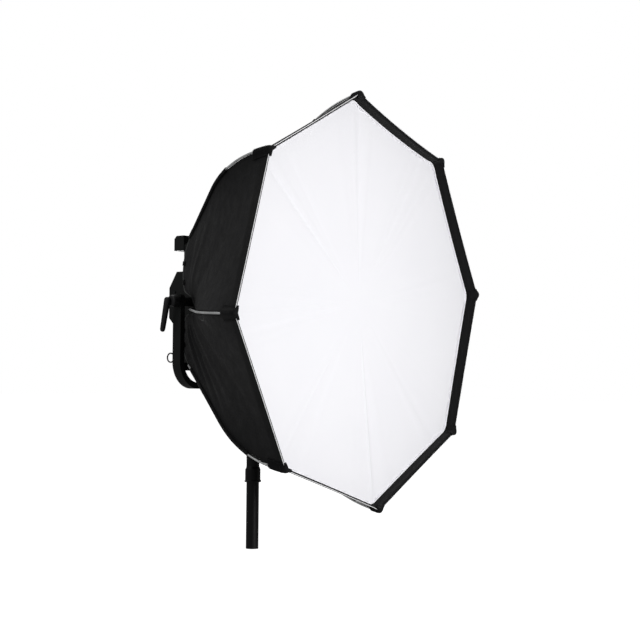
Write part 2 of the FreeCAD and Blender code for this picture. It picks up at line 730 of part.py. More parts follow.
def panel_solid(lines, index):
    """One sewn panel between two neighbouring rods."""
    wires = []
    for share in PANEL_STATIONS:
        seam_gap = 0.9 + 1.5 * share
        corners = skin(lines, share, size.rod_standoff.value)
        first, second = corners[index], corners[(index + 1) % 8]
        across = (second - first).normalize()
        start, end = first + across * seam_gap, second - across * seam_gap
        middle = (start + end) * 0.5
        inward = Vec(-middle.x, 0, size.axis_height.value - middle.z)
        inward = (inward - across * inward.dot(across)).normalize() * size.fabric.value
        wires.append(Part.makePolygon([start, end, end + inward, start + inward, start]))
    return Part.makeLoft(wires, True, False)


def ring_at(lines, behind, inset):
    """Flat octagon at a depth behind the lip, its corners moved inset towards the axis."""
    corners = [to_part(line.at(line.root.y - behind, inset)) for line in lines]
    return Part.makePolygon(corners + corners[:1])


def ring_loft(lines, inset, depths):
    return Part.makeLoft([ring_at(lines, behind, inset) for behind in depths], True, True)


def make_softbox():
    """Rods, sockets, adapter frame, sewn panels, lip band, diffuser, baffle and pockets."""
    lines = [RodLine(number) for number in range(1, 9)]
    radius = size.rod_dia.value / 2
    sleeve, length = size.sleeve_dia.value / 2, size.sleeve_length.value
    arm = size.arm_dia.value / 2
    rods, sockets = [], []
    frame_corner = to_part(Vec(-size.frame_width.value / 2, size.frame_depth.value,
                               -size.frame_height.value / 2))
    frame_block = Part.makeBox(size.frame_width.value, size.frame_thick.value,
                               size.frame_height.value, frame_corner)
    for number, line in enumerate(lines, start=1):
        start, tip = to_part(line.root), to_part(line.tip)
        forward = (to_part(line.along_start(10)) - start).normalize()
        knee = to_part(line.at(line.knee[1]))
        bow = to_part(line.at((line.knee[1] + line.root.y) / 2))
        path = Part.Wire([Part.LineSegment(start, knee).toShape(),
                          Part.Arc(knee, bow, tip).toShape()])
        profile = Part.Wire(Part.Circle(start, forward, radius).toShape())
        rods.append(path.makePipeShell([profile], True, False))
        feature(f"rod_{number}", rods[-1])

        # socket sleeve, and the bent arm that joins it to the adapter frame
        barrel = Part.makeCylinder(sleeve, length + 4, start - forward * 4, forward)
        bore = Part.makeCylinder(radius + size.running_gap.value, length + 4, start, forward)
        frame_y = size.frame_depth.value + size.frame_thick.value / 2
        edge_x, edge_z = size.frame_width.value / 2 - 4, size.frame_height.value / 2 - 4
        if number in (1, 5):
            side = math.copysign(1, line.root.z)
            x = line.root.x
            stops = [Vec(x, frame_y, side * edge_z), Vec(x, frame_y, side * 184),
                     Vec(x, line.root.y, side * 184), line.root]
        elif number in (3, 7):
            side = math.copysign(1, line.root.x)
            z = line.root.z
            stops = [Vec(side * edge_x, frame_y, z), Vec(side * 277, frame_y, z),
                     Vec(side * 277, line.root.y, z), line.root]
        else:
            side, up = math.copysign(1, line.root.x), math.copysign(1, line.root.z)
            stops = [Vec(side * edge_x, frame_y, up * edge_z),
                     Vec(side * 276, frame_y, up * 176.5),
                     Vec(side * 276, line.root.y, up * 176.5), line.root]
        stops = [to_part(stop) for stop in stops]
        solid = barrel
        for a, b in zip(stops, stops[1:]):
            solid = solid.fuse(Part.makeCylinder(arm, (b - a).Length, a, b - a))
            solid = solid.fuse(Part.makeSphere(arm, b if b is not stops[-1] else a))
        sockets.append(solid.cut(bore).cut(frame_block))
    feature("rod_sockets", Part.makeCompound(sockets))

    frame = new_body("adapter_frame", head(0, size.frame_depth - size.front_distance, 0))
    sketch = new_sketch(frame, "XZ_Plane")
    rectangle(sketch, size.frame_width, size.frame_height)
    rectangle(sketch, size.frame_width - 2 * size.frame_bar,
              size.frame_height - 2 * size.frame_bar)
    pad(frame, sketch, size.frame_thick, back=True)

    axis = to_part(Vec(0, size.front_distance.value, 0))
    notch = Part.makeCylinder(BOSS_NOTCH, 800, axis - Vec(400, 0, 0), Vec(1, 0, 0))
    notch = notch.fuse(Part.makeBox(800, 60, 2 * BOSS_NOTCH, axis - Vec(400, 0, BOSS_NOTCH)))
    for index in range(8):
        solid = panel_solid(lines, index).cut(sockets[index]).cut(sockets[(index + 1) % 8])
        if index in (2, 6):
            solid = solid.cut(notch)
        feature(f"shell_panel_{index + 1}", solid)

    # recessed lip band, diffuser behind it, inner baffle
    depth = size.lip_depth.value
    face = size.rod_standoff.value + size.fabric.value * 1.3
    rows = (0, depth / 2, depth)
    outer = ring_loft(lines, face, rows)
    inner = ring_loft(lines, face + size.band_thick.value, rows)
    feature("lip_band", outer.cut(inner))
    for name, behind, inset in (("front_diffuser", depth + 4, face + 3),
                                ("inner_baffle", size.baffle_depth.value, face + 4)):
        sheet_face = Part.Face(ring_at(lines, behind, inset))
        feature(name, sheet_face.extrude(Vec(0, SHEET_THICKNESS, 0)))

    # pockets that hold the rod tips, with the webbing tabs standing proud
    pockets = []
    for line, rod_solid in zip(lines, rods):
        tip = to_part(line.tip)
        back = to_part(line.at(line.root.y - POCKET_LENGTH - 2))
        way = (back - tip).normalize()
        cap = Part.makeCylinder(POCKET_RADIUS, POCKET_LENGTH, tip - way * 4, way)
        bore = Part.makeCylinder(radius + 0.1, POCKET_LENGTH + 18, tip, way)
        pockets.append(cap.cut(bore).cut(rod_solid))
    feature("tip_pockets", Part.makeCompound(pockets))

    # rear hem flaps that close over the sides of the lamp
    flaps = []
    for side in (-1, 1):
        for low, high in ((-166, -68), (96, 166)):
            flaps.append(box(2, 24, high - low, head(side * 282.4, 14, (low + high) / 2)))
            flaps.append(box(170, 40, 2, head(side * 150, -6, (1 if low > 0 else -1) * 181.5)))
    keep(group(*flaps), "rear_hem")


def make_clips():
    """Holders that the adapter frame drops into, and the latch that keeps it there."""
    front = size.lamp_front
    clips = []
    reach = front - (size.frame_depth - size.front_distance)
    for side in (-1, 1):
        for z in (-100, 100):
            wall = box(4, reach + 4, 60, head(side * (size.lamp_width / 2 - 2),
                                              front - (reach + 4) / 2, z))
            lip = box(14, 3.5, 60, head(side * (size.lamp_width / 2 - 7),
                                        front - reach - 2.25, z))
            clips.append(fuse(wall, lip))
    keep(group(*clips), "frame_clips")

    # hooked latch that turns on a pin between two ears of the bezel
    pivot = head(size.latch_x, front - 6, size.lamp_height / 2 + 2)
    latch = new_body("frame_latch", pivot)
    sketch = new_sketch(latch, "YZ_Plane")
    outline(sketch, LATCH_OUTLINE)
    pad(latch, sketch, LATCH_WIDTH, both=True)
    sketch = new_sketch(latch, "YZ_Plane")
    circle(sketch, LATCH_PIN / 2)
    pad(latch, sketch, LATCH_WIDTH + 8, both=True)


make_stand()
make_yoke()
make_lamp_front()
make_housing()
make_electronics()
make_softbox()
make_clips()
doc.recompute()

# ---- check and export -----------------------------------------------------------------------
for obj in doc.Objects:
    if "Invalid" in obj.State or "Error" in obj.State:
        raise RuntimeError(f"{obj.Label} did not build: {obj.State}")
for obj in PARTS:
    if obj.Shape.isNull() or not obj.Shape.isValid() or not obj.Shape.Solids:
        raise RuntimeError(f"{obj.Label} has no valid solid")
os.makedirs("parts", exist_ok=True)
for obj in PARTS:
    obj.Shape.exportStep(f"parts/{obj.Label}.step")
print(len(PARTS), "nodes")
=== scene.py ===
"""Looks of the studio softbox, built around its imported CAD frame.

Metres, in the frame's own axes: +Z up, the softbox faces -Y. The sewn shell, its lip, pockets,
diffuser, baffle and hem are modelled here as cloth, and the clamp lever as a moulding. Lamp, yoke,
rods and stand keep their CAD shapes, with softened edges and procedural materials.
"""
import json
import math

import bpy
import numpy as np
from mathutils import Matrix, Vector


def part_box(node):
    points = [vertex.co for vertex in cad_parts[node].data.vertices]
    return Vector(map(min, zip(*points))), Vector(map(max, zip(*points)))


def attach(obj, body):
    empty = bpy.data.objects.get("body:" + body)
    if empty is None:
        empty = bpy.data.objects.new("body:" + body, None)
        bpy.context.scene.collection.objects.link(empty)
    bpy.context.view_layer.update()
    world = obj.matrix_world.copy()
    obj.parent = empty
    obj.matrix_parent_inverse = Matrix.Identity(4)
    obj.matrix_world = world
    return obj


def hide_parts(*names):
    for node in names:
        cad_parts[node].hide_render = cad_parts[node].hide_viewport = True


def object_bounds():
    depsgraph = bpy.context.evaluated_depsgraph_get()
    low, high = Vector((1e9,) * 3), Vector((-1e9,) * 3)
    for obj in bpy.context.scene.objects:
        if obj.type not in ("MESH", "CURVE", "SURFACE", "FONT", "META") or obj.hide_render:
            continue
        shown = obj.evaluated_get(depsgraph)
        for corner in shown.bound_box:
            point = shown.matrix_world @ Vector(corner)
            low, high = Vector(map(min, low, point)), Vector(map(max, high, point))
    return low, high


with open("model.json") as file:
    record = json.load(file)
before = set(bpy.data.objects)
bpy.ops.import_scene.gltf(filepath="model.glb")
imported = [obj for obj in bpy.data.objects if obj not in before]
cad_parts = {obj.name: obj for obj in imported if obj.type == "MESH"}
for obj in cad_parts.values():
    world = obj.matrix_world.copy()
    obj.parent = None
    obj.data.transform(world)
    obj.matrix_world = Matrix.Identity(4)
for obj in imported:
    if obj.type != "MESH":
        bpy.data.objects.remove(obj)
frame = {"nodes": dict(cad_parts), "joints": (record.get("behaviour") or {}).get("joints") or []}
cad_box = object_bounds()
NODES = frame["nodes"]

AXIS_Z = next(j for j in frame["joints"] if j["name"] == "head_tilt")["pos_m"][2]
LIP_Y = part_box("lip_band")[0].y
BAND_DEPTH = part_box("lip_band")[1].y - LIP_Y
DIFFUSER_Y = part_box("front_diffuser")[0].y
BAFFLE_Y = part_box("inner_baffle")[0].y
CENTRE = np.array([0.0, 0.0, AXIS_Z])

FABRIC_OFFSET = 0.0036      # rod centre to the outside of the cloth
BAND_INSET = 0.0034         # cloth's outside to the inner face of the loop band
HEM_BULGE = 0.028           # how far the rear hem bows back between two rods
EDGE_GAP = 0.006            # rear edge of the cloth ahead of each rod's root


# ---- mesh helpers ---------------------------------------------------------------------------

def mesh_piece(name, points, faces, material, body="head", uv=None):
    """A smooth mesh object that rides on a body. uv gives each point's place on the flat cut."""
    mesh = bpy.data.meshes.new(name)
    mesh.from_pydata([tuple(map(float, p)) for p in points], [], [tuple(f) for f in faces])
    mesh.validate()
    if uv is not None:
        layer = mesh.uv_layers.new(name="flat")
        corner_points = np.zeros(len(mesh.loops), np.int32)
        mesh.loops.foreach_get("vertex_index", corner_points)
        layer.data.foreach_set("uv", np.asarray(uv, np.float32)[corner_points].ravel())
    mesh.polygons.foreach_set("use_smooth", [True] * len(mesh.polygons))
    obj = bpy.data.objects.new(name, mesh)
    bpy.context.scene.collection.objects.link(obj)
    if material:
        mesh.materials.append(material)
    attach(obj, body)
    return obj


def grid_faces(rows, columns, wrap=False, start=0):
    """Quads over a rows x columns grid of points, joined round its columns if wrap."""
    last = columns if wrap else columns - 1
    return [(start + r * columns + c, start + r * columns + (c + 1) % columns,
             start + (r + 1) * columns + (c + 1) % columns, start + (r + 1) * columns + c)
            for r in range(rows - 1) for c in range(last)]


def unit(v):
    v = np.asarray(v, float)
    return v / np.maximum(np.linalg.norm(v, axis=-1, keepdims=True), 1e-12)


def resample(points, step):
    """The polyline again, with points an even step apart."""
    points = np.asarray(points, float)
    gone = np.concatenate([[0], np.cumsum(np.linalg.norm(np.diff(points, axis=0), axis=1))])
    stops = np.linspace(0, gone[-1], max(2, int(round(gone[-1] / step)) + 1))
    return np.stack([np.interp(stops, gone, points[:, k]) for k in range(3)], axis=1)


def frames_along(points, closed=False):
    """Tangent, side and up at each point, with the side carried along without twist."""
    if closed:
        tangent = unit(np.roll(points, -1, 0) - np.roll(points, 1, 0))
    else:
        tangent = unit(np.gradient(points, axis=0))
    seed = np.array([0.0, 1.0, 0.0]) if abs(tangent[0][1]) < 0.8 else np.array([1.0, 0.0, 0.0])
    side = unit(np.cross(tangent[0], seed))
    sides = []
    for t in tangent:
        side = unit(side - t * (side @ t))
        sides.append(side)
    sides = np.array(sides)
    return tangent, sides, np.cross(sides, tangent)


def tube_data(points, radius, sides=8, closed=False):
    """Points and faces of a round tube along a line."""
    points = np.asarray(points, float)
    _, across, up = frames_along(points, closed)
    turn = np.linspace(0, 2 * math.pi, sides, endpoint=False)
    ring = (across[:, None] * np.cos(turn)[None, :, None] + up[:, None] * np.sin(turn)[None, :, None])
    made = (points[:, None] + ring * radius).reshape(-1, 3)
    faces = grid_faces(len(points), sides, wrap=True)
    if closed:
        tail = (len(points) - 1) * sides
        faces += [(tail + i, tail + (i + 1) % sides, (i + 1) % sides, i) for i in range(sides)]
    else:
        faces += [tuple(range(sides))[::-1], tuple(range(len(made) - sides, len(made)))]
    return made, faces


STITCH_PITCH = 0.0055
STITCH_LENGTH = 0.0040
THREAD_RADIUS = 0.00055


def stitches(name, lines, material):
    """Rows of short thread stitches along lines that lie on a cloth's surface."""
    points, faces = [], []
    section = np.array([(0, 1), (0.87, -0.5), (-0.87, -0.5)])
    rise = (0.15, 1.0, 1.0, 0.15)
    for line in lines:
        spots = resample(line, STITCH_PITCH)
        ways = unit(np.diff(spots, axis=0))
        for spot, way in zip(spots[:-1], ways):
            across = unit(np.cross(way, [0.31, 0.77, 0.55]))
            up = np.cross(across, way)
            start = len(points)
            for share, lift in zip((0, 0.25, 0.75, 1), rise):
                centre = spot + way * STITCH_LENGTH * share
                for a, b in section:
                    points.append(centre + (across * a + up * b) * THREAD_RADIUS * lift)
            faces += grid_faces(4, 3, wrap=True, start=start)
    return mesh_piece(name, points, faces, material)


# ---- materials ------------------------------------------------------------------------------

class Surface:
    """One procedural material, built from short calls."""

    def __init__(self, name, colour, roughness, metallic=0.0, **sockets):
        self.material = bpy.data.materials.new(name)
        self.material.use_nodes = True
        self.tree = self.material.node_tree
        self.shader = self.tree.nodes["Principled BSDF"]
        self.material.diffuse_color = (*colour, 1)
        self.set("Base Color", (*colour, 1))
        self.set("Roughness", roughness)
        self.set("Metallic", metallic)
        for socket, value in sockets.items():
            self.set(socket.replace("_", " "), value)
        self.bumped = None

    def set(self, socket, value):
        self.shader.inputs[socket].default_value = value

    def node(self, kind, links=None, **values):
        """A new node with its sockets or settings given by name."""
        made = self.tree.nodes.new(kind)
        for key, value in values.items():
            if key in made.inputs:
                made.inputs[key].default_value = value
            else:
                setattr(made, key, value)
        for key, source in (links or {}).items():
            self.tree.links.new(source, made.inputs[key])
        return made

    def where(self, flat=False):
        """Texture space in metres: the flat cut of a cloth, or the object itself."""
        return self.node("ShaderNodeTexCoord").outputs["UV" if flat else "Object"]

    def noise(self, scale, detail=3.0, stretch=None):
        """Soft mottling, with about scale patches to the metre."""
        place = self.where()
        if stretch:
            place = self.node("ShaderNodeMapping", {"Vector": place}, Scale=stretch).outputs[0]
        return self.node("ShaderNodeTexNoise", {"Vector": place}, Scale=scale, Detail=detail,
                         Roughness=0.5).outputs["Fac"]

    def waves(self, pitch, axis="X", flat=False):
        """Even ridges a pitch apart along one axis."""
        made = self.node("ShaderNodeTexWave", {"Vector": self.where(flat)}, wave_type="BANDS",
                         bands_direction=axis, Scale=math.pi / (10 * pitch), Distortion=0.0)
        return made.outputs["Fac"]

    def remap(self, source, low, high, from_low=0.3, from_high=0.7):
        """The source's span from_low to from_high, stretched to low to high."""
        return self.node("ShaderNodeMapRange", {"Value": source}, **{
            "From Min": from_low, "From Max": from_high, "To Min": low, "To Max": high,
        }).outputs[0]

    def math(self, operation, a, b):
        """A Math node on two sources or numbers."""
        made = self.node("ShaderNodeMath", operation=operation)
        for slot, value in enumerate((a, b)):
            if isinstance(value, (int, float)):
                made.inputs[slot].default_value = value
            else:
                self.tree.links.new(value, made.inputs[slot])
        return made.outputs[0]

    def tint(self, source, first, second):
        """Base colour that runs from first to second with a 0 to 1 source."""
        mix = self.node("ShaderNodeMix", {"Factor": source}, data_type="RGBA")
        mix.inputs[6].default_value = (*first, 1)
        mix.inputs[7].default_value = (*second, 1)
        self.tree.links.new(mix.outputs[2], self.shader.inputs["Base Color"])
        return self

    def polish(self, source, low, high):
        """Roughness that runs from low to high with a noise."""
        self.tree.links.new(self.remap(source, low, high), self.shader.inputs["Roughness"])
        return self

    def relief(self, source, depth):
        """Bump of a real depth in metres, added on top of the reliefs before it."""
        links = {"Height": source}
        if self.bumped is not None:
            links["Normal"] = self.bumped
        self.bumped = self.node("ShaderNodeBump", links, Strength=1.0,
                                Distance=depth).outputs["Normal"]
        self.tree.links.new(self.bumped, self.shader.inputs["Normal"])
        return self


def nylon(name, dark, light, rough=0.62):
    """Ripstop nylon: fine plain weave, a raised thread every 6 mm, soft handling marks."""
    s = Surface(name, dark, rough, Sheen_Weight=0.04, Sheen_Roughness=0.5,
                Specular_IOR_Level=0.14)
    s.tint(s.remap(s.noise(5.5, 5.0), 0, 1), dark, light)
    s.polish(s.noise(38.0), rough - 0.08, rough + 0.1)
    weave = s.math("MULTIPLY", s.waves(0.0011, "X", True), s.waves(0.0011, "Y", True))
    s.relief(weave, 0.00012)
    ribs = [s.remap(s.waves(0.006, axis, True), 0, 1, 0.93, 1.0) for axis in "XY"]
    s.relief(s.math("MAXIMUM", *ribs), 0.00018)
    s.relief(s.noise(26.0, 4.0), 0.0011)
    return s.material


def webbing(name, dark, light):
    """Grosgrain tape with close ribs across its length."""
    s = Surface(name, dark, 0.75, Sheen_Weight=0.04, Sheen_Roughness=0.5,
                Specular_IOR_Level=0.1)
    s.tint(s.remap(s.noise(60.0, 4.0), 0, 1), dark, light)
    s.relief(s.waves(0.0018, "Y", True), 0.0004)
    s.relief(s.noise(400.0), 0.0001)
    return s.material


def loop_pile(name):
    """Fuzzy loop side of hook-and-loop tape."""
    dark, light = (0.0022, 0.0022, 0.0024), (0.0065, 0.0065, 0.007)
    s = Surface(name, dark, 0.95, Sheen_Weight=0.05, Sheen_Roughness=0.7,
                Specular_IOR_Level=0.05)
    s.tint(s.remap(s.noise(700.0, 2.0), 0, 1), dark, light)
    s.relief(s.noise(650.0, 2.0), 0.0009)
    s.relief(s.noise(90.0, 3.0), 0.0006)
    return s.material


def diffusion_cloth(name, shade=0.93):
    """White diffusion cloth with a fine even weave."""
    white, warm = (shade - 0.006, shade - 0.01, shade + 0.02), (shade - 0.03, shade - 0.034, shade)
    s = Surface(name, white, 0.85, Sheen_Weight=0.08, Sheen_Roughness=0.5, Specular_IOR_Level=0.2)
    s.tint(s.remap(s.noise(2.4, 3.0), 0, 1), white, warm)
    weave = s.math("MULTIPLY", s.waves(0.0009, "X", True), s.waves(0.0009, "Y", True))
    s.relief(weave, 0.00008)
    s.relief(s.noise(9.0, 3.0), 0.0006)
    return s.material


def powder_coat(name, colour, worn, rough=0.5, grain=900.0):
    """Fine-textured powder coat, a little rubbed, with dust in the hollows of its grain."""
    s = Surface(name, colour, rough, Specular_IOR_Level=0.2)
    patches = s.math("MULTIPLY", s.remap(s.noise(7.0, 5.0), 0, 1, 0.45, 0.75),
                     s.remap(s.noise(210.0, 3.0), 0, 1, 0.5, 0.72))
    s.tint(patches, colour, worn)
    s.polish(s.noise(24.0, 4.0), rough - 0.09, rough + 0.12)
    s.relief(s.noise(grain, 2.0), 0.00016)
    s.relief(s.noise(14.0), 0.0002)
    return s.material


def anodised(name):
    """Satin black anodised tube with fine drawing lines and a few sliding rubs."""
    dark, rubbed = (0.0035, 0.0035, 0.0037), (0.013, 0.013, 0.0135)
    s = Surface(name, dark, 0.42, Specular_IOR_Level=0.2)
    lines = s.noise(130.0, 3.0, stretch=(1.0, 1.0, 0.035))
    s.tint(s.remap(lines, 0, 1, 0.56, 0.78), dark, rubbed)
    s.polish(s.noise(45.0, 3.0, stretch=(1, 1, 0.1)), 0.34, 0.52)
    s.relief(lines, 0.0001)
    return s.material


def steel(name, colour, rough, stretch=(1.0, 1.0, 1.0)):
    """Satin steel with fine brushing and slight staining."""
    s = Surface(name, colour, rough, 1.0)
    stain = tuple(c * 0.72 for c in colour)
    s.tint(s.remap(s.noise(30.0, 4.0), 0, 1, 0.4, 0.7), colour, stain)
    s.polish(s.noise(300.0, 3.0, stretch=stretch), rough - 0.08, rough + 0.12)
    s.relief(s.noise(600.0, 2.0, stretch=stretch), 0.00005)
    return s.material


def moulded(name, colour, rough=0.48, spark=800.0):
    """Moulded plastic with spark-eroded grain and finger shine."""
    s = Surface(name, colour, rough, Specular_IOR_Level=0.4)
    greased = tuple(min(1.0, c * 1.5 + 0.002) for c in colour)
    s.tint(s.remap(s.noise(18.0, 4.0), 0, 1, 0.4, 0.75), colour, greased)
    s.polish(s.noise(30.0, 3.0), rough - 0.12, rough + 0.1)
    s.relief(s.noise(spark, 2.0), 0.00012)
    return s.material


def display_glass(name):
    """Clear gloss over a dark display, with faint smears."""
    s = Surface(name, (0.006, 0.007, 0.009), 0.08, Coat_Weight=1.0, Coat_Roughness=0.03)
    s.polish(s.noise(40.0, 4.0), 0.05, 0.16)
    s.relief(s.noise(4.0), 0.00006)
    return s.material


def led_phosphor(name):
    """White board with rows of yellow emitters, set out on the board's own pitch."""
    s = Surface(name, (0.82, 0.81, 0.77), 0.35)
    dots = s.math("MULTIPLY", s.waves(0.0205, "X"), s.waves(0.02, "Z"))
    s.tint(s.remap(dots, 0, 1, 0.5, 0.62), (0.82, 0.81, 0.77), (0.8, 0.58, 0.12))
    s.relief(s.noise(500.0), 0.0001)
    return s.material


BLACK = (0.0075, 0.0075, 0.0082)
BLACK_LIGHT = (0.0115, 0.0115, 0.0122)
shell_cloth = nylon("shell_nylon", BLACK, BLACK_LIGHT)
skirt_cloth = nylon("skirt_nylon", (0.006, 0.006, 0.0065), (0.0095, 0.0095, 0.01), 0.75)
lining_cloth = steel("silver_lining", (0.62, 0.63, 0.65), 0.38)
tape = webbing("grosgrain_tape", (0.0045, 0.0045, 0.005), (0.0085, 0.0085, 0.009))
# painted highlight: grey colour of the rear binding, for the highlight along the rear edge
rear_highlight_tape = webbing("painted_highlight_binding", (0.075, 0.078, 0.077), (0.115, 0.118, 0.116))
# painted reflection: pale colour of the thin tube along the lip's outer edge
lip_reflection_tape = webbing("painted_lip_reflection", (0.82, 0.82, 0.83), (0.9, 0.9, 0.91))
band_pile = loop_pile("loop_pile")
white_cloth = diffusion_cloth("diffusion_cloth")
baffle_cloth = diffusion_cloth("baffle_cloth", 0.88)
white_tape = diffusion_cloth("white_piping", 0.95)
black_thread = webbing("black_thread", (0.02, 0.02, 0.021), (0.035, 0.035, 0.036))
white_thread = webbing("white_thread", (0.7, 0.7, 0.72), (0.82, 0.82, 0.83))

coat = powder_coat("lamp_powder_coat", (0.009, 0.0098, 0.0095), (0.019, 0.0196, 0.0195))
frame_coat = powder_coat("frame_powder_coat", (0.01, 0.01, 0.0105), (0.03, 0.03, 0.031), 0.42, 500.0)
sink_metal = steel("anodised_fins", (0.06, 0.06, 0.062), 0.45)
tube_finish = anodised("anodised_tube")
rod_steel = steel("rod_steel", (0.93, 0.94, 0.94), 0.42, (1.0, 0.05, 1.0))
zinc = steel("zinc_steel", (0.5, 0.5, 0.5), 0.33)
black_zinc = steel("black_zinc", (0.035, 0.036, 0.037), 0.38)
grained = moulded("grained_plastic", (0.0085, 0.0085, 0.009))
key_plastic = moulded("key_plastic", (0.05, 0.05, 0.052), 0.4)
fibre = moulded("pressed_fibre", (0.09, 0.065, 0.04), 0.8, 300.0)
opal = moulded("opal_lens", (0.86, 0.86, 0.83), 0.3, 1200.0)
board = led_phosphor("led_board_white")
glass = display_glass("display_glass")


# ---- CAD pieces that stay -------------------------------------------------------------------

def finish_cad(nodes, material, edge=None):
    """A procedural material on CAD nodes, and a small bevel that lets their edges catch light."""
    for name in nodes:
        obj = NODES[name]
        obj.data.materials.clear()
        obj.data.materials.append(material)
        if edge:
            flat = obj.modifiers.new("flat_faces", "DECIMATE")
            flat.decimate_type = "DISSOLVE"
            flat.angle_limit = math.radians(0.5)
            bevel = obj.modifiers.new("soft_edges", "BEVEL")
            bevel.width = edge
            bevel.segments = 2
            bevel.limit_method = "ANGLE"
            bevel.angle_limit = math.radians(38)
            bevel.harden_normals = True


finish_cad(["yoke", "main_housing", "rear_cover", "front_bezel", "upper_handle", "lower_handle",
            "side_bracket_left", "side_bracket_right", "frame_clips"], coat, 0.0012)
finish_cad(["adapter_frame", "rod_sockets"], frame_coat)
finish_cad(["heat_sink"], sink_metal)
finish_cad(["riser_tube", "receiver"], tube_finish, 0.0005)
finish_cad([f"rod_{n}" for n in range(1, 9)], rod_steel)
finish_cad(["spigot", "tilt_bolt_left", "tilt_bolt_right"], zinc, 0.0005)
finish_cad(["spigot_bolt", "cover_screws", "safety_eye"], black_zinc)
finish_cad(["receiver_knob"], grained, 0.002)
finish_cad(["control_panel", "data_sockets", "power_inlet", "fan_frames", "fan_rotor_left",
            "fan_rotor_right", "frame_latch", "power_supply", "dimmer_knob", "colour_knob"],
           grained, 0.0004)
finish_cad(["button_1", "button_2", "power_switch"], key_plastic, 0.0008)
finish_cad(["friction_washers"], fibre)
finish_cad(["lens_sheet"], opal)
finish_cad(["led_board"], board)
finish_cad(["display_window"], glass, 0.0006)


# ---- lines of the shell ---------------------------------------------------------------------

class RodSeam:
    """Where the cloth's seam runs under one rod, read from the rod itself."""

    def __init__(self, number):
        mesh = NODES[f"rod_{number}"].data
        points = np.array([v.co for v in mesh.vertices])
        pairs = np.array([e.vertices[:] for e in mesh.edges])
        self.a, self.b = points[pairs[:, 0]], points[pairs[:, 1]]
        root_y = points[:, 1].max()
        self.rear = root_y - EDGE_GAP
        depths = np.linspace(LIP_Y + 0.006, root_y - 0.008, 48)
        line = np.array([self._centre(y) for y in depths])
        tip = line[0] + (line[0] - line[1]) * (line[0][1] - LIP_Y) / (line[1][1] - line[0][1])
        self.line = np.vstack([tip, line])
        radial = np.hypot(self.line[:, 0], self.line[:, 2] - AXIS_Z)
        self.lean = 1 / np.sqrt(1 + np.gradient(radial, self.line[:, 1]) ** 2)

    def _centre(self, y):
        side_a, side_b = self.a[:, 1] - y, self.b[:, 1] - y
        hit = side_a * side_b < 0
        share = side_a[hit] / (side_a[hit] - side_b[hit])
        points = self.a[hit] + share[:, None] * (self.b - self.a)[hit]
        return (points.min(0) + points.max(0)) / 2

    def at(self, y, inset=FABRIC_OFFSET):
        """The point at depth y, moved inward square to the rod."""
        centre = np.array([np.interp(y, self.line[:, 1], self.line[:, k]) for k in range(3)])
        centre[1] = y
        out = centre - CENTRE
        out[1] = 0
        reach = np.linalg.norm(out)
        lean = np.interp(y, self.line[:, 1], self.lean)
        return centre - out / reach * inset / lean


SEAMS = [RodSeam(number) for number in range(1, 9)]


def ring_corners(y, inset):
    """The eight corners of the shell at depth y, moved in from the cloth's outside."""
    return np.array([seam.at(y, FABRIC_OFFSET + inset) for seam in SEAMS])


LIP_SAG = {0: 0.009, 1: 0.004}     # by edge, from the top rod; 1 mm on the others


def lip_sag(index, shares):
    """How far the lip is drawn in between two rods, as offsets for shares of that edge."""
    tips = SEAMS[index].at(LIP_Y) + SEAMS[(index + 1) % 8].at(LIP_Y)
    outward = unit((tips / 2 - CENTRE) * [1, 0, 1])
    depth = LIP_SAG.get(index, 0.001)
    profile = np.abs(np.sin(math.pi * np.asarray(shares))) ** 0.7
    return -outward * depth * profile[..., None]


def rounded_ring(y, inset, radius, steps=7, per_side=26):
    """Closed octagon of points at depth y with its corners rounded."""
    corners = ring_corners(y, inset)
    made = []
    for i, corner in enumerate(corners):
        before, after = corners[i - 1], corners[(i + 1) % 8]
        to_before, to_after = unit(before - corner), unit(after - corner)
        reach = radius * math.tan(math.radians(22.5))
        start, end = corner + to_before * reach, corner + to_after * reach
        for step in np.linspace(0, 1, steps):
            a, b = start + (corner - start) * step, corner + (end - corner) * step
            made.append(a + (b - a) * step)
        next_start = after + unit(corner - after) * reach
        for step in np.linspace(0, 1, per_side + 1)[1:-1]:
            point = end + (next_start - end) * step
            share = np.linalg.norm(point - corner) / np.linalg.norm(after - corner)
            made.append(point + lip_sag(i, share))
    return np.array(made)


# ---- shell panels ---------------------------------------------------------------------------

ACROSS, ALONG = 61, 81      # points of a panel's grid
SEAM_PULL = 0.0018          # panel drawn in along its rods
PUCKER_HEIGHT = 0.0006
CLOTH_THICKNESS = 0.0008
BOSS_DIP = 0.026            # hem drawn forward round the tilt boss
rng = np.random.default_rng(11)


def boss_dip(z):
    """How far the hem is drawn forward round the tilt boss on the lamp's side."""
    low, high = AXIS_Z - 0.030, AXIS_Z + 0.020
    middle, half = (low + high) / 2, (high - low) / 2
    return BOSS_DIP / (1 + (abs(z - middle) / (half * 1.08)) ** 8)


def hem_line(index):
    """Rear edge of one panel: it bows back between its rods and dips round the tilt boss."""
    first, second = SEAMS[index], SEAMS[(index + 1) % 8]
    start, end = first.at(first.rear), second.at(second.rear)
    u = np.linspace(0, 1, ACROSS)
    line = start + (end - start) * u[:, None]
    line[:, 1] += HEM_BULGE * np.sin(math.pi * u) ** 0.75
    beside_boss = (1, 2, 5, 6)
    if index in beside_boss:
        line[:, 1] -= np.array([boss_dip(z) for z in line[:, 2]])
    return line


def film(grid, held, lengthwise=0.72, rounds=1500):
    """Relax a grid of points towards a stretched film that keeps its sides and held front rows."""
    grid = grid.copy()
    for _ in range(rounds):
        grid[held:-1, 1:-1] = ((grid[held - 1:-2, 1:-1] + grid[held + 1:, 1:-1]) * lengthwise
                               + (grid[held:-1, :-2] + grid[held:-1, 2:])
                               * (1 - lengthwise)) / 2
    return grid


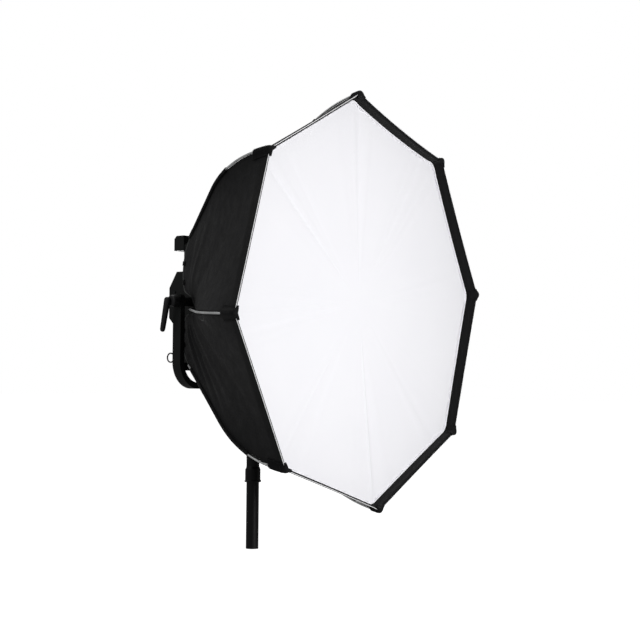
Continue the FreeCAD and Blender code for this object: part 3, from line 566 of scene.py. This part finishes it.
def creases(length, width, lines):
    """Height of soft folds over the panel; each is (u0, v0, u1, v1, half width, height)."""
    v, u = np.meshgrid(np.linspace(0, 1, ALONG), np.linspace(0, 1, ACROSS), indexing="ij")
    x, y = u * width, v * length
    height = np.zeros_like(x)
    for u0, v0, u1, v1, half, rise in lines:
        ax, ay, bx, by = u0 * width, v0 * length, u1 * width, v1 * length
        dx, dy = bx - ax, by - ay
        share = np.clip(((x - ax) * dx + (y - ay) * dy) / (dx * dx + dy * dy), 0, 1)
        away = np.hypot(x - ax - share * dx, y - ay - share * dy)
        spread_half = half * (0.45 + 1.1 * share)       # narrow at its root, wide at its end
        fade = np.sin(math.pi * np.clip(0.12 + 0.88 * share, 0, 1)) ** 0.7
        height += rise * fade * np.exp(-(away / spread_half) ** 2)
    return height


def panel_creases(index):
    """Tension folds that fan out of the rods' roots, and a few loose ones."""
    if index == 6:      # between the near side rod and the upper corner rod
        fan = [(0.02, 0.97, 0.97, 0.74, 0.016, 0.0042), (0.02, 0.97, 0.93, 0.60, 0.014, 0.0034),
               (0.03, 0.98, 0.60, 0.30, 0.022, -0.003), (0.04, 0.9, 0.97, 0.87, 0.02, -0.0035)]
    elif index == 5:    # between the lower corner rod and the near side rod
        fan = [(0.98, 0.97, 0.08, 0.80, 0.012, 0.004), (0.98, 0.96, 0.06, 0.64, 0.013, 0.0042),
               (0.98, 0.95, 0.06, 0.48, 0.015, 0.0036), (0.98, 0.93, 0.12, 0.30, 0.016, 0.003),
               (0.97, 0.9, 0.3, 0.12, 0.02, -0.0025), (0.96, 0.97, 0.05, 0.72, 0.008, -0.0028),
               (0.97, 0.95, 0.04, 0.56, 0.009, -0.0028)]
    else:
        fan = []
        for side in (0.02, 0.98):
            for _ in range(3):
                far = 1 - side + rng.uniform(-0.02, 0.02)
                fan.append((side, rng.uniform(0.93, 0.98), far, rng.uniform(0.35, 0.85),
                            rng.uniform(0.012, 0.022), rng.uniform(-0.003, 0.0042)))
    for _ in range(5):
        u, v = rng.uniform(0.15, 0.85), rng.uniform(0.15, 0.75)
        fan.append((u, v, u + rng.uniform(-0.25, 0.25), v + rng.uniform(0.08, 0.25),
                    rng.uniform(0.015, 0.04), rng.uniform(-0.0016, 0.0018)))
    return fan


def make_panel(index):
    """One sewn panel: a tensioned sheet between two rods, from the lip to the rear hem."""
    first, second = SEAMS[index], SEAMS[(index + 1) % 8]
    v = np.linspace(0, 1, ALONG)
    u = np.linspace(0, 1, ACROSS)
    left = np.array([first.at(LIP_Y + (first.rear - LIP_Y) * s) for s in v])
    right = np.array([second.at(LIP_Y + (second.rear - LIP_Y) * s) for s in v])
    hem = hem_line(index)
    flat = left[:, None] + (right - left)[:, None] * u[None, :, None]
    flat += (hem - flat[-1])[None] * (v ** 6)[:, None, None]
    held = int((BAND_DEPTH + 0.004) / (first.rear - LIP_Y) * ALONG) + 1
    flat[:held] += lip_sag(index, u)[None]
    grid = film(flat, held)
    width = np.linalg.norm(right - left, axis=1)
    length = np.linalg.norm(np.diff(left, axis=0), axis=1).sum()
    normal = unit(np.cross(np.gradient(grid, axis=1), np.gradient(grid, axis=0)))
    middle = grid[ALONG // 2, ACROSS // 2] - CENTRE
    if normal[ALONG // 2, ACROSS // 2] @ middle < 0:
        normal = -normal
    from_rod = np.minimum(u, 1 - u)
    edge = np.minimum(1, from_rod[None] / 0.06) * np.minimum(1, v[:, None] / 0.05)
    height = creases(length, width.mean(), panel_creases(index)) * edge
    seam_pull = -SEAM_PULL * np.exp(-(from_rod / 0.02) ** 2)[None]
    puckers = PUCKER_HEIGHT * np.sin(v * 190)[:, None] * np.exp(-(from_rod / 0.035) ** 2)[None]
    grid = grid + normal * (height + (seam_pull + puckers) * edge)[..., None]
    along = np.concatenate([[0], np.cumsum(np.linalg.norm(np.diff(left, axis=0), axis=1))])
    uv = np.stack(np.broadcast_arrays((u[None] - 0.5) * width[:, None], along[:, None]), -1)
    faces = grid_faces(ALONG, ACROSS)
    number = index + 1
    piece = mesh_piece(f"panel_{number}", grid.reshape(-1, 3), faces, shell_cloth,
                       uv=uv.reshape(-1, 2))
    piece.data.materials.append(lining_cloth)
    thick = piece.modifiers.new("lining", "SOLIDIFY")
    thick.thickness = CLOTH_THICKNESS
    thick.offset = -1
    thick.material_offset = 1
    thick.material_offset_rim = 0
    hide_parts(f"shell_panel_{number}")
    thread_lift = 0.0006
    seam_rows = [grid[4:-2, column] + normal[4:-2, column] * thread_lift
                 for column in (1, ACROSS - 2)]
    stitches(f"panel_{number}_seam_stitches", seam_rows, black_thread)
    return grid, normal


PANELS = [make_panel(index) for index in range(8)]


# ---- rear hem and skirt ---------------------------------------------------------------------

BINDING_RADIUS = 0.0021
SKIRT_ROWS = 12
SKIRT_DEPTH = 0.05          # gathered strip's cut width, for its weave
SKIRT_BOW = 0.006
RIPPLE_PITCH = 0.021


def make_hem():
    """Elastic binding round the rear edge, coloured grey as a painted highlight along that edge, and
    the skirt that closes on the lamp.
    """
    lines = [grid[-1] for grid, _ in PANELS]
    edge = np.vstack([line[:-1] for line in lines])
    # painted highlight: the rear binding's grey colour stands in for the highlight along the edge
    points, faces = tube_data(edge, BINDING_RADIUS, 8, closed=True)
    binding = mesh_piece("rear_binding", points, faces, rear_highlight_tape)

    low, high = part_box("front_bezel")
    clear = 0.0015
    half_x, half_z = high.x + clear, (high.z - low.z) / 2 + clear
    inner_y = high.y - 0.004
    rings = []
    for share in np.linspace(0, 1, SKIRT_ROWS):
        ring = []
        for p in edge:
            x, z = p[0], p[2] - AXIS_Z
            scale = min(half_x / max(abs(x), 1e-6), half_z / max(abs(z), 1e-6))
            target = np.array([x * scale, inner_y, AXIS_Z + z * scale])
            bow = math.sin(math.pi * share)
            point = p + (target - p) * share
            point[1] += SKIRT_BOW * bow
            ring.append(point)
        rings.append(ring)
    rings = np.array(rings)
    gone = np.concatenate([[0], np.cumsum(np.linalg.norm(np.diff(edge, axis=0), axis=1))])
    ripple = 0.0028 * np.sin(gone * 2 * math.pi / RIPPLE_PITCH)
    ripple += 0.0012 * np.sin(gone * 620 + 1.3)
    shares = np.linspace(0, 1, SKIRT_ROWS)
    rings[:, :, 1] += ripple[None] * np.sin(math.pi * shares ** 0.7)[:, None]
    down = np.linspace(0, SKIRT_DEPTH, SKIRT_ROWS)[:, None]
    uv = np.stack(np.broadcast_arrays(gone[None], down), -1)
    skirt = mesh_piece("rear_skirt", rings.reshape(-1, 3),
                       grid_faces(SKIRT_ROWS, len(edge), wrap=True), skirt_cloth,
                       uv=uv.reshape(-1, 2))
    thick = skirt.modifiers.new("cloth", "SOLIDIFY")
    thick.thickness = 0.001
    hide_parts("rear_hem")


make_hem()


def flat_tube(line, wide, tall, out, sides=10):
    """Points and faces of an oval tube whose flat side lies on the cloth."""
    tangent = unit(np.gradient(line, axis=0))
    across = unit(np.cross(tangent, out))
    turn = np.linspace(0, 2 * math.pi, sides, endpoint=False)
    wide, tall = np.broadcast_to(wide, len(line)), np.broadcast_to(tall, len(line))
    ring = (across[:, None] * (np.cos(turn)[None] * wide[:, None])[..., None]
            + out[:, None] * (np.sin(turn)[None] * tall[:, None])[..., None])
    return (line[:, None] + ring).reshape(-1, 3), grid_faces(len(line), sides, wrap=True)


# Depth behind the lip at which each rod's black cover begins. This is painted shade: a dark sleeve
# stands in for the shade on these rods' rear stretch. The side rods, 3 and 7, stay bare.
SHADE_SLEEVE_MOUTH = {1: 0.165, 2: 0.165, 4: 0.165, 5: 0.165, 6: 0.140, 8: 0.180}
SHADE_SLEEVE_HALF_WIDTH = 0.0058
SHADE_SLEEVE_HALF_HEIGHT = 0.0042
SHADE_SLEEVE_THICKNESS = 0.0006


def make_shade_sleeves():
    """Black nylon covers over the upper and lower rods behind their bare front stretch. They are
    painted shade for the dark rear of those rods.
    """
    for number, mouth in SHADE_SLEEVE_MOUTH.items():
        seam = SEAMS[number - 1]
        depths = np.linspace(LIP_Y + mouth, seam.rear - 0.010, 44)
        line = np.array([seam.at(y, 0.0006) for y in depths])
        out = line - CENTRE
        out[:, 1] = 0
        out = unit(out)
        tangent = unit(np.gradient(line, axis=0))
        out = unit(out - tangent * (out * tangent).sum(1)[:, None])
        share = np.linspace(0, 1, len(line))
        flare = np.exp(-share * 30)
        wide = SHADE_SLEEVE_HALF_WIDTH + 0.0014 * flare + 0.0004 * np.sin(share * 60)
        tall = SHADE_SLEEVE_HALF_HEIGHT + 0.0006 * flare
        points, faces = flat_tube(line, wide, tall, out, 14)
        # painted shade: a black sleeve put over the rod where the rod only lies in shade
        piece = mesh_piece(f"shade_sleeve_{number}", points, faces, shell_cloth)
        thick = piece.modifiers.new("cloth", "SOLIDIFY")
        thick.thickness = SHADE_SLEEVE_THICKNESS


make_shade_sleeves()


HEM_TABS = (0.36, 0.64)     # shares of a panel's rear edge
TAB_HALF_WIDTH = 0.0065
TAPE_THICKNESS = 0.0014
# (ahead of the edge, out from the cloth) along a tab, over the binding and back under it
TAB_PROFILE = [(0.016, 0.0012), (0.004, 0.0026), (-0.002, 0.0030), (-0.0042, 0.0),
               (-0.002, -0.0030), (0.004, -0.0026), (0.012, -0.0012)]


def make_hem_tabs():
    """Short black loops that clip the rear binding to the lamp."""
    for index, (grid, normal) in enumerate(PANELS):
        for share in HEM_TABS:
            column = int(round(share * (ACROSS - 1)))
            middle = grid[-1, column]
            way = unit(grid[-1, column + 1] - grid[-1, column - 1])
            out = normal[-1, column]
            forward = unit(np.cross(way, out))
            if forward[1] > 0:
                forward = -forward
            points = [middle + forward * ahead + out * lift + way * side * TAB_HALF_WIDTH
                      for ahead, lift in TAB_PROFILE for side in np.linspace(-1, 1, 5)]
            piece = mesh_piece(f"hem_tab_{index + 1}_{int(share * 100)}", points,
                               grid_faces(len(TAB_PROFILE), 5), tape)
            thick = piece.modifiers.new("tape", "SOLIDIFY")
            thick.thickness = TAPE_THICKNESS
            thick.offset = 0


make_hem_tabs()


# ---- lip, band and pockets ------------------------------------------------------------------

def swept_ring(name, sections, material, radius):
    """A strip round the front, given as (depth behind the lip, inset) rows."""
    rings = np.array([rounded_ring(LIP_Y + deep, inset, radius) for deep, inset
                      in sections])
    gone = np.concatenate([[0], np.cumsum(np.linalg.norm(np.diff(rings[0], axis=0), axis=1))])
    drop = np.concatenate([[0], np.cumsum([math.dist(a, b) for a, b in
                                           zip(sections, sections[1:])])])
    uv = np.stack(np.broadcast_arrays(gone[None], drop[:, None]), -1)
    return mesh_piece(name, rings.reshape(-1, 3), grid_faces(len(sections), len(rings[0]), True),
                      material, uv=uv.reshape(-1, 2))


CORNER_ROUND = 0.026
# radius of the pale tube of painted reflection along the lip's outer edge
LIP_REFLECTION_RADIUS = 0.0011
PILE_THICKNESS = 0.0016
BAND_START = 0.003          # depth of the loop band's front edge behind the lip
BAND_WAVE = 0.0006
# (depth behind the lip, inset) across the folded binding tape, outside first
LIP_FOLD = [(0.0045, -0.0004), (0.003, -0.0008), (0.001, -0.0008), (-0.0008, 0.0001),
            (-0.0012, 0.0012), (-0.0008, 0.0024), (0.001, 0.0031), (0.007, 0.0033),
            (0.011, 0.0033)]


def make_lip():
    """Binding tape folded over the front edge, a pale tube along its outer edge as a painted
    reflection of the bright room, and the loop band behind it.
    """
    binding = swept_ring("lip_binding", LIP_FOLD, tape, CORNER_ROUND)
    thick = binding.modifiers.new("tape", "SOLIDIFY")
    thick.thickness = CLOTH_THICKNESS
    thick.offset = -1

    rows = [(BAND_START + (BAND_DEPTH - BAND_START) * s, BAND_INSET + BAND_WAVE * math.sin(9 * s))
            for s in np.linspace(0, 1, 12)]
    rows += [(BAND_DEPTH + 0.001, BAND_INSET - 0.001), (BAND_DEPTH + 0.001, 0.0020)]
    band = swept_ring("loop_band", rows, band_pile, CORNER_ROUND)
    thick = band.modifiers.new("pile", "SOLIDIFY")
    thick.thickness = PILE_THICKNESS
    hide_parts("lip_band")

    # painted reflection: a pale thin tube along the lip's outer front edge stands in for the grazing
    # reflection on the black binding
    edge = rounded_ring(LIP_Y - 0.0008, -0.0010, CORNER_ROUND)
    points, faces = tube_data(edge, LIP_REFLECTION_RADIUS, 8, closed=True)
    edge_tube = mesh_piece("lip_reflection_tube", points, faces, lip_reflection_tape)

    inner = [rounded_ring(LIP_Y + 0.0085, 0.0046, CORNER_ROUND),
             rounded_ring(LIP_Y + BAND_DEPTH - 0.004, BAND_INSET + 0.0006, CORNER_ROUND)]
    stitches("lip_stitches", [np.vstack([r, r[:1]]) for r in inner], black_thread)


make_lip()


# (depth behind the lip, inset from the cloth's outside) along a pocket, outside first
POCKET_PROFILE = [(0.060, 0.0), (0.056, 0.0), (0.042, 0.0), (0.028, 0.0), (0.014, 0.0),
                  (0.003, 0.0), (-0.0025, 0.0005), (-0.0055, 0.003), (-0.0055, 0.0055),
                  (-0.002, 0.0075), (0.006, 0.0072), (0.014, 0.0070), (0.020, 0.0068)]
SHORT_POCKETS = (0, 4)      # the top and bottom rods'
POCKET_HALF = 0.021         # half width at the lip
FLAP_HALF = 0.013           # half width of the flap inside the box
FLAP_INSET = 0.006          # rows further in than this are the flap
POCKET_HUMP = 0.0086        # over the rod
POCKET_THICKNESS = 0.0016


def make_pocket(index):
    """Reinforced pocket that wraps over the rod's tip and the lip."""
    seam = SEAMS[index]
    number = index + 1
    across = np.linspace(-1, 1, 25)
    before, after = SEAMS[index - 1], SEAMS[(index + 1) % 8]
    points, uv = [], []
    for row, (deep, inset) in enumerate(POCKET_PROFILE):
        if index in SHORT_POCKETS:
            deep = min(deep, 0.004 + deep * 0.42)
        y = LIP_Y + max(deep, 0.0)
        corner = seam.at(y, FABRIC_OFFSET + inset)
        corner[1] = LIP_Y + deep
        sides = (unit(before.at(y) - seam.at(y)), unit(after.at(y) - seam.at(y)))
        out = unit(corner - CENTRE - np.array([0, corner[1], 0]))
        outside = 1.0 if inset == 0.0 else max(0.0, 1 - inset / 0.005)
        rise = POCKET_HUMP * outside if row else 0.0040
        half = POCKET_HALF + 0.003 * max(deep, 0) / 0.060
        if inset > FLAP_INSET:
            half = FLAP_HALF
        lift = 0.0017 if outside > 0 else -0.0004
        for w in across:
            way = sides[0] if w < 0 else sides[1]
            flat_point = corner + way * abs(w) * half
            hump = rise / (1 + (abs(w) / 0.52) ** 7)
            tip_round = 0.0022 * (1 - w * w) if deep < 0 else 0
            point = flat_point + out * (hump + lift)
            point[1] -= tip_round
            points.append(point)
            uv.append((w * half, row * 0.006))
    rows = len(POCKET_PROFILE)
    piece = mesh_piece(f"pocket_{number}", points, grid_faces(rows, len(across)), tape, uv=uv)
    thick = piece.modifiers.new("tape", "SOLIDIFY")
    thick.thickness = POCKET_THICKNESS
    thick.offset = 0.6
    smooth = piece.modifiers.new("smooth", "SUBSURF")
    smooth.levels = 1
    smooth.render_levels = 1
    grid = np.array(points).reshape(rows, len(across), 3)
    proud = unit(grid[2:6, 12] - CENTRE) * 0.0013
    box_line = [grid[1:6, 1] + proud.mean(0), grid[1:6, -2] + proud.mean(0),
                grid[1, 1:-1] + proud[0], grid[4, 1:-1] + proud[0]]
    stitches(f"pocket_{number}_stitches", box_line, black_thread)
    return piece


POCKETS = [make_pocket(index) for index in range(8)]
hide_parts("tip_pockets")


# ---- diffuser and baffle --------------------------------------------------------------------

def shell_rim(y, inset):
    """Closed line at depth y, a little inside the sagging panels."""
    made = []
    for grid, _ in PANELS:
        for column in range(1, ACROSS - 1, 2):
            line = grid[:, column]
            point = np.array([np.interp(y, line[:, 1], line[:, k]) for k in range(3)])
            point[1] = y
            made.append(point)
    made = np.array(made)
    inward = CENTRE * [1, 0, 1] + [0, y, 0] - made
    return made + unit(inward) * inset


def cloth_disc(name, y, rim, material, node, folds, bow, rings=44):
    """A stretched octagonal sheet with soft folds that run in from its corners.

    Each fold is (corner, turn from it, half width in radians, height). Folds fade out at the rim,
    and the fade's 1.002 keeps its base above nought there.
    """
    centre = rim.mean(0)
    shares = np.linspace(0, 1, rings)[1:] ** 0.9
    angle = np.arctan2(rim[:, 2] - centre[2], rim[:, 0] - centre[0])
    corner_angle = [math.atan2(*(ring_corners(y, 0.0)[i][[2, 0]] - centre[[2, 0]]))
                    for i in range(8)]
    points = [centre + np.array([0, bow, 0])]
    for share in shares:
        ring = centre + (rim - centre) * share
        drop = bow * (1 - share ** 2)
        height = np.zeros(len(rim))
        for corner, offset, half, rise in folds:
            turn = (angle - corner_angle[corner] - offset + math.pi) % (2 * math.pi) - math.pi
            height += rise * np.exp(-(turn / half) ** 2) * share ** 1.5 * (1.002 - share) ** 0.35
        ring[:, 1] += drop + height
        points.extend(ring)
    count = len(rim)
    faces = [(0, 1 + (i + 1) % count, 1 + i) for i in range(count)]
    faces += grid_faces(len(shares), count, wrap=True, start=1)
    points = np.array(points)
    piece = mesh_piece(name, points, faces, material, uv=points[:, [0, 2]])
    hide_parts(node)


INNER_ROUND = 0.045
HEM_PIPING_RADIUS = 0.0023


def make_diffusers():
    """Front diffuser with its piped hem, and the baffle inside the box."""
    folds = []
    for corner in range(8):
        for offset in np.linspace(-0.16, 0.16, 5):
            folds.append((corner, offset + rng.uniform(-0.02, 0.02), rng.uniform(0.012, 0.03),
                          rng.uniform(-0.010, 0.012)))
    rim = rounded_ring(DIFFUSER_Y, BAND_INSET + 0.001, INNER_ROUND)
    cloth_disc("diffuser_cloth", DIFFUSER_Y, rim, white_cloth, "front_diffuser",
               folds, 0.006)
    piping_line = rim + np.array([0, -0.0022, 0])
    piping_line += unit(CENTRE * [1, 0, 1] + [0, DIFFUSER_Y, 0] - rim) * 0.0024
    points, faces = tube_data(piping_line, HEM_PIPING_RADIUS, 8, closed=True)
    edge_tube = mesh_piece("diffuser_piping", points, faces, white_tape)
    hem = [rounded_ring(DIFFUSER_Y - 0.0006, BAND_INSET + 0.009, INNER_ROUND)]
    stitches("diffuser_stitches", [np.vstack([r, r[:1]]) for r in hem], white_thread)
    cloth_disc("baffle_sheet", BAFFLE_Y, shell_rim(BAFFLE_Y, 0.004), baffle_cloth,
               "inner_baffle", folds[::3], 0.004, rings=24)


make_diffusers()


# ---- clamp lever ----------------------------------------------------------------------------

def lofted(name, sections, material, body, sides=20):
    """A smooth closed form through ellipses: (centre, half across, half up, across, up)."""
    points = []
    turn = np.linspace(0, 2 * math.pi, sides, endpoint=False)
    for centre, wide, tall, across, up in sections:
        ring = (np.asarray(centre) + np.cos(turn)[:, None] * wide * np.asarray(across)
                + np.sin(turn)[:, None] * tall * np.asarray(up))
        points.extend(ring)
    faces = grid_faces(len(sections), sides, wrap=True)
    faces += [tuple(range(sides))[::-1], tuple(range(len(points) - sides, len(points)))]
    piece = mesh_piece(name, points, faces, material, body)
    smooth = piece.modifiers.new("smooth", "SUBSURF")
    smooth.levels = 1
    smooth.render_levels = 1
    return piece


LEVER_LENGTH = 0.102
LEVER_LEAN = math.radians(11.5)
ARM_TOP = 0.0105            # arm's upper end above the pivot
ARM_OUT = 0.0065            # arm's middle line outside the hub's outer face
ARM_BACK = 0.007
LEVER_OUT = 0.006           # CAD arm stands this far outside the hub


def make_lever():
    """Moulded clamp lever: a waisted hub with a tapered arm across its outer face."""
    low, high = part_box("tilt_lever")
    start, end = low.x + LEVER_OUT, high.x
    down = np.array([0, math.sin(LEVER_LEAN), -math.cos(LEVER_LEAN)])
    side = np.array([0, math.cos(LEVER_LEAN), math.sin(LEVER_LEAN)])
    x_way = np.array([1.0, 0, 0])
    pivot = np.array([0, 0, AXIS_Z])
    # (distance in from the hub's outer face, radius)
    profile = [(0.0, 0.010), (0.0, 0.0135), (0.002, 0.0155), (0.008, 0.0172), (0.015, 0.0178),
               (0.021, 0.0176), (0.0245, 0.0172), (end - start, 0.0170), (end - start, 0.012)]
    rings = [(pivot + x_way * (start + step), radius, radius, side, down)
             for step, radius in profile]
    hub = lofted("lever_hub", rings, grained, "tilt_clamp", 32)
    arm_centre = pivot + x_way * (start - ARM_OUT) + np.array([0, ARM_BACK, 0])
    sections = []
    for share in np.linspace(0, 1, 19):
        along = -ARM_TOP + LEVER_LENGTH * share
        blunt = min(1.0, 0.55 + 12 * share, 0.6 + 14 * (1 - share))
        wide = (0.0100 - 0.0024 * share) * blunt
        tall = (0.0094 - 0.0020 * share) * blunt
        sections.append((arm_centre + down * along, wide, tall, side, x_way))
    arm = lofted("lever_arm", sections, grained, "tilt_clamp")
    cap_line = [(pivot + x_way * (start + step), radius, radius, side, down)
                for step, radius in ((-0.0002, 0.001), (-0.0004, 0.0042), (0.0006, 0.0050),
                                     (0.004, 0.0050))]
    screw = lofted("lever_screw", cap_line, black_zinc, "tilt_clamp", 18)
    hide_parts("tilt_lever")


make_lever()


# ---- camera, light and floor ----------------------------------------------------------------

ROOM_LIGHT = 0.24           # world strength that lights the object
STAGE_GLOW = 1.0            # strength of the backdrop and floor that the camera sees
FLOOR_HALF = 30.0
# name, place, width in metres, watts
LAMPS = [("key", (-0.24, -2.4, 0.72), 1.2, 37), ("side", (-4.2, 0.6, 2.6), 1.8, 28),
         ("top", (0.3, 1.2, 4.2), 2.4, 30), ("rear", (3.0, 3.7, 0.8), 1.2, 60)]
CAMERA_PLACE = (-3.2856, -2.7410, 0.5156)
CAMERA_RIGHT = (0.60338, -0.79742, 0.00799)
CAMERA_UP = (-0.03908, -0.01955, 0.99904)
CAMERA_LENS = 78.28         # millimetres, on a sensor 36 mm wide


def make_stage():
    """Pale floor, soft studio light and the camera."""
    scene = bpy.context.scene
    scene.view_settings.view_transform = "Standard"
    floor_mesh = bpy.data.meshes.new("floor")
    half = FLOOR_HALF
    floor_mesh.from_pydata([(-half, -half, 0), (half, -half, 0), (half, half, 0),
                            (-half, half, 0)], [], [(0, 1, 2, 3)])
    floor = bpy.data.objects.new("floor", floor_mesh)
    scene.collection.objects.link(floor)
    floor.location.z = cad_box[0].z - 0.0005
    pale = Surface("pale_floor", (0.3, 0.3, 0.3), 0.9, Specular_IOR_Level=0.0,
                   Emission_Color=(1, 1, 1, 1), Emission_Strength=STAGE_GLOW)
    floor_mesh.materials.append(pale.material)
    floor.visible_diffuse = False
    floor.visible_glossy = False

    world = bpy.data.worlds.new("studio")
    scene.world = world
    world.use_nodes = True
    tree = world.node_tree
    tree.nodes.clear()
    output = tree.nodes.new("ShaderNodeOutputWorld")
    mix = tree.nodes.new("ShaderNodeMixShader")
    path = tree.nodes.new("ShaderNodeLightPath")
    room = tree.nodes.new("ShaderNodeBackground")
    room.inputs["Strength"].default_value = ROOM_LIGHT
    backdrop = tree.nodes.new("ShaderNodeBackground")
    backdrop.inputs["Strength"].default_value = STAGE_GLOW
    for shader in (room, backdrop):
        shader.inputs["Color"].default_value = (1, 1, 1, 1)
    tree.links.new(path.outputs["Is Camera Ray"], mix.inputs[0])
    tree.links.new(room.outputs[0], mix.inputs[1])
    tree.links.new(backdrop.outputs[0], mix.inputs[2])
    tree.links.new(mix.outputs[0], output.inputs[0])

    target = Vector((0, -0.2, AXIS_Z))
    for name, place, width, power in LAMPS:
        light = bpy.data.lights.new(name, "AREA")
        light.shape = "SQUARE"
        light.size = width
        light.energy = power
        obj = bpy.data.objects.new(name, light)
        obj.location = place
        obj.rotation_mode = "QUATERNION"
        obj.rotation_quaternion = (target - Vector(place)).to_track_quat("-Z", "Y")
        scene.collection.objects.link(obj)

    camera = bpy.data.cameras.new("camera")
    camera.lens = CAMERA_LENS
    camera.sensor_width = 36
    camera.clip_end = 100
    eye = bpy.data.objects.new("camera", camera)
    right, up = Vector(CAMERA_RIGHT), Vector(CAMERA_UP)
    back = right.cross(up)
    eye.matrix_world = Matrix((right, up, back)).transposed().to_4x4()
    eye.location = CAMERA_PLACE
    scene.collection.objects.link(eye)
    scene.camera = eye


make_stage()
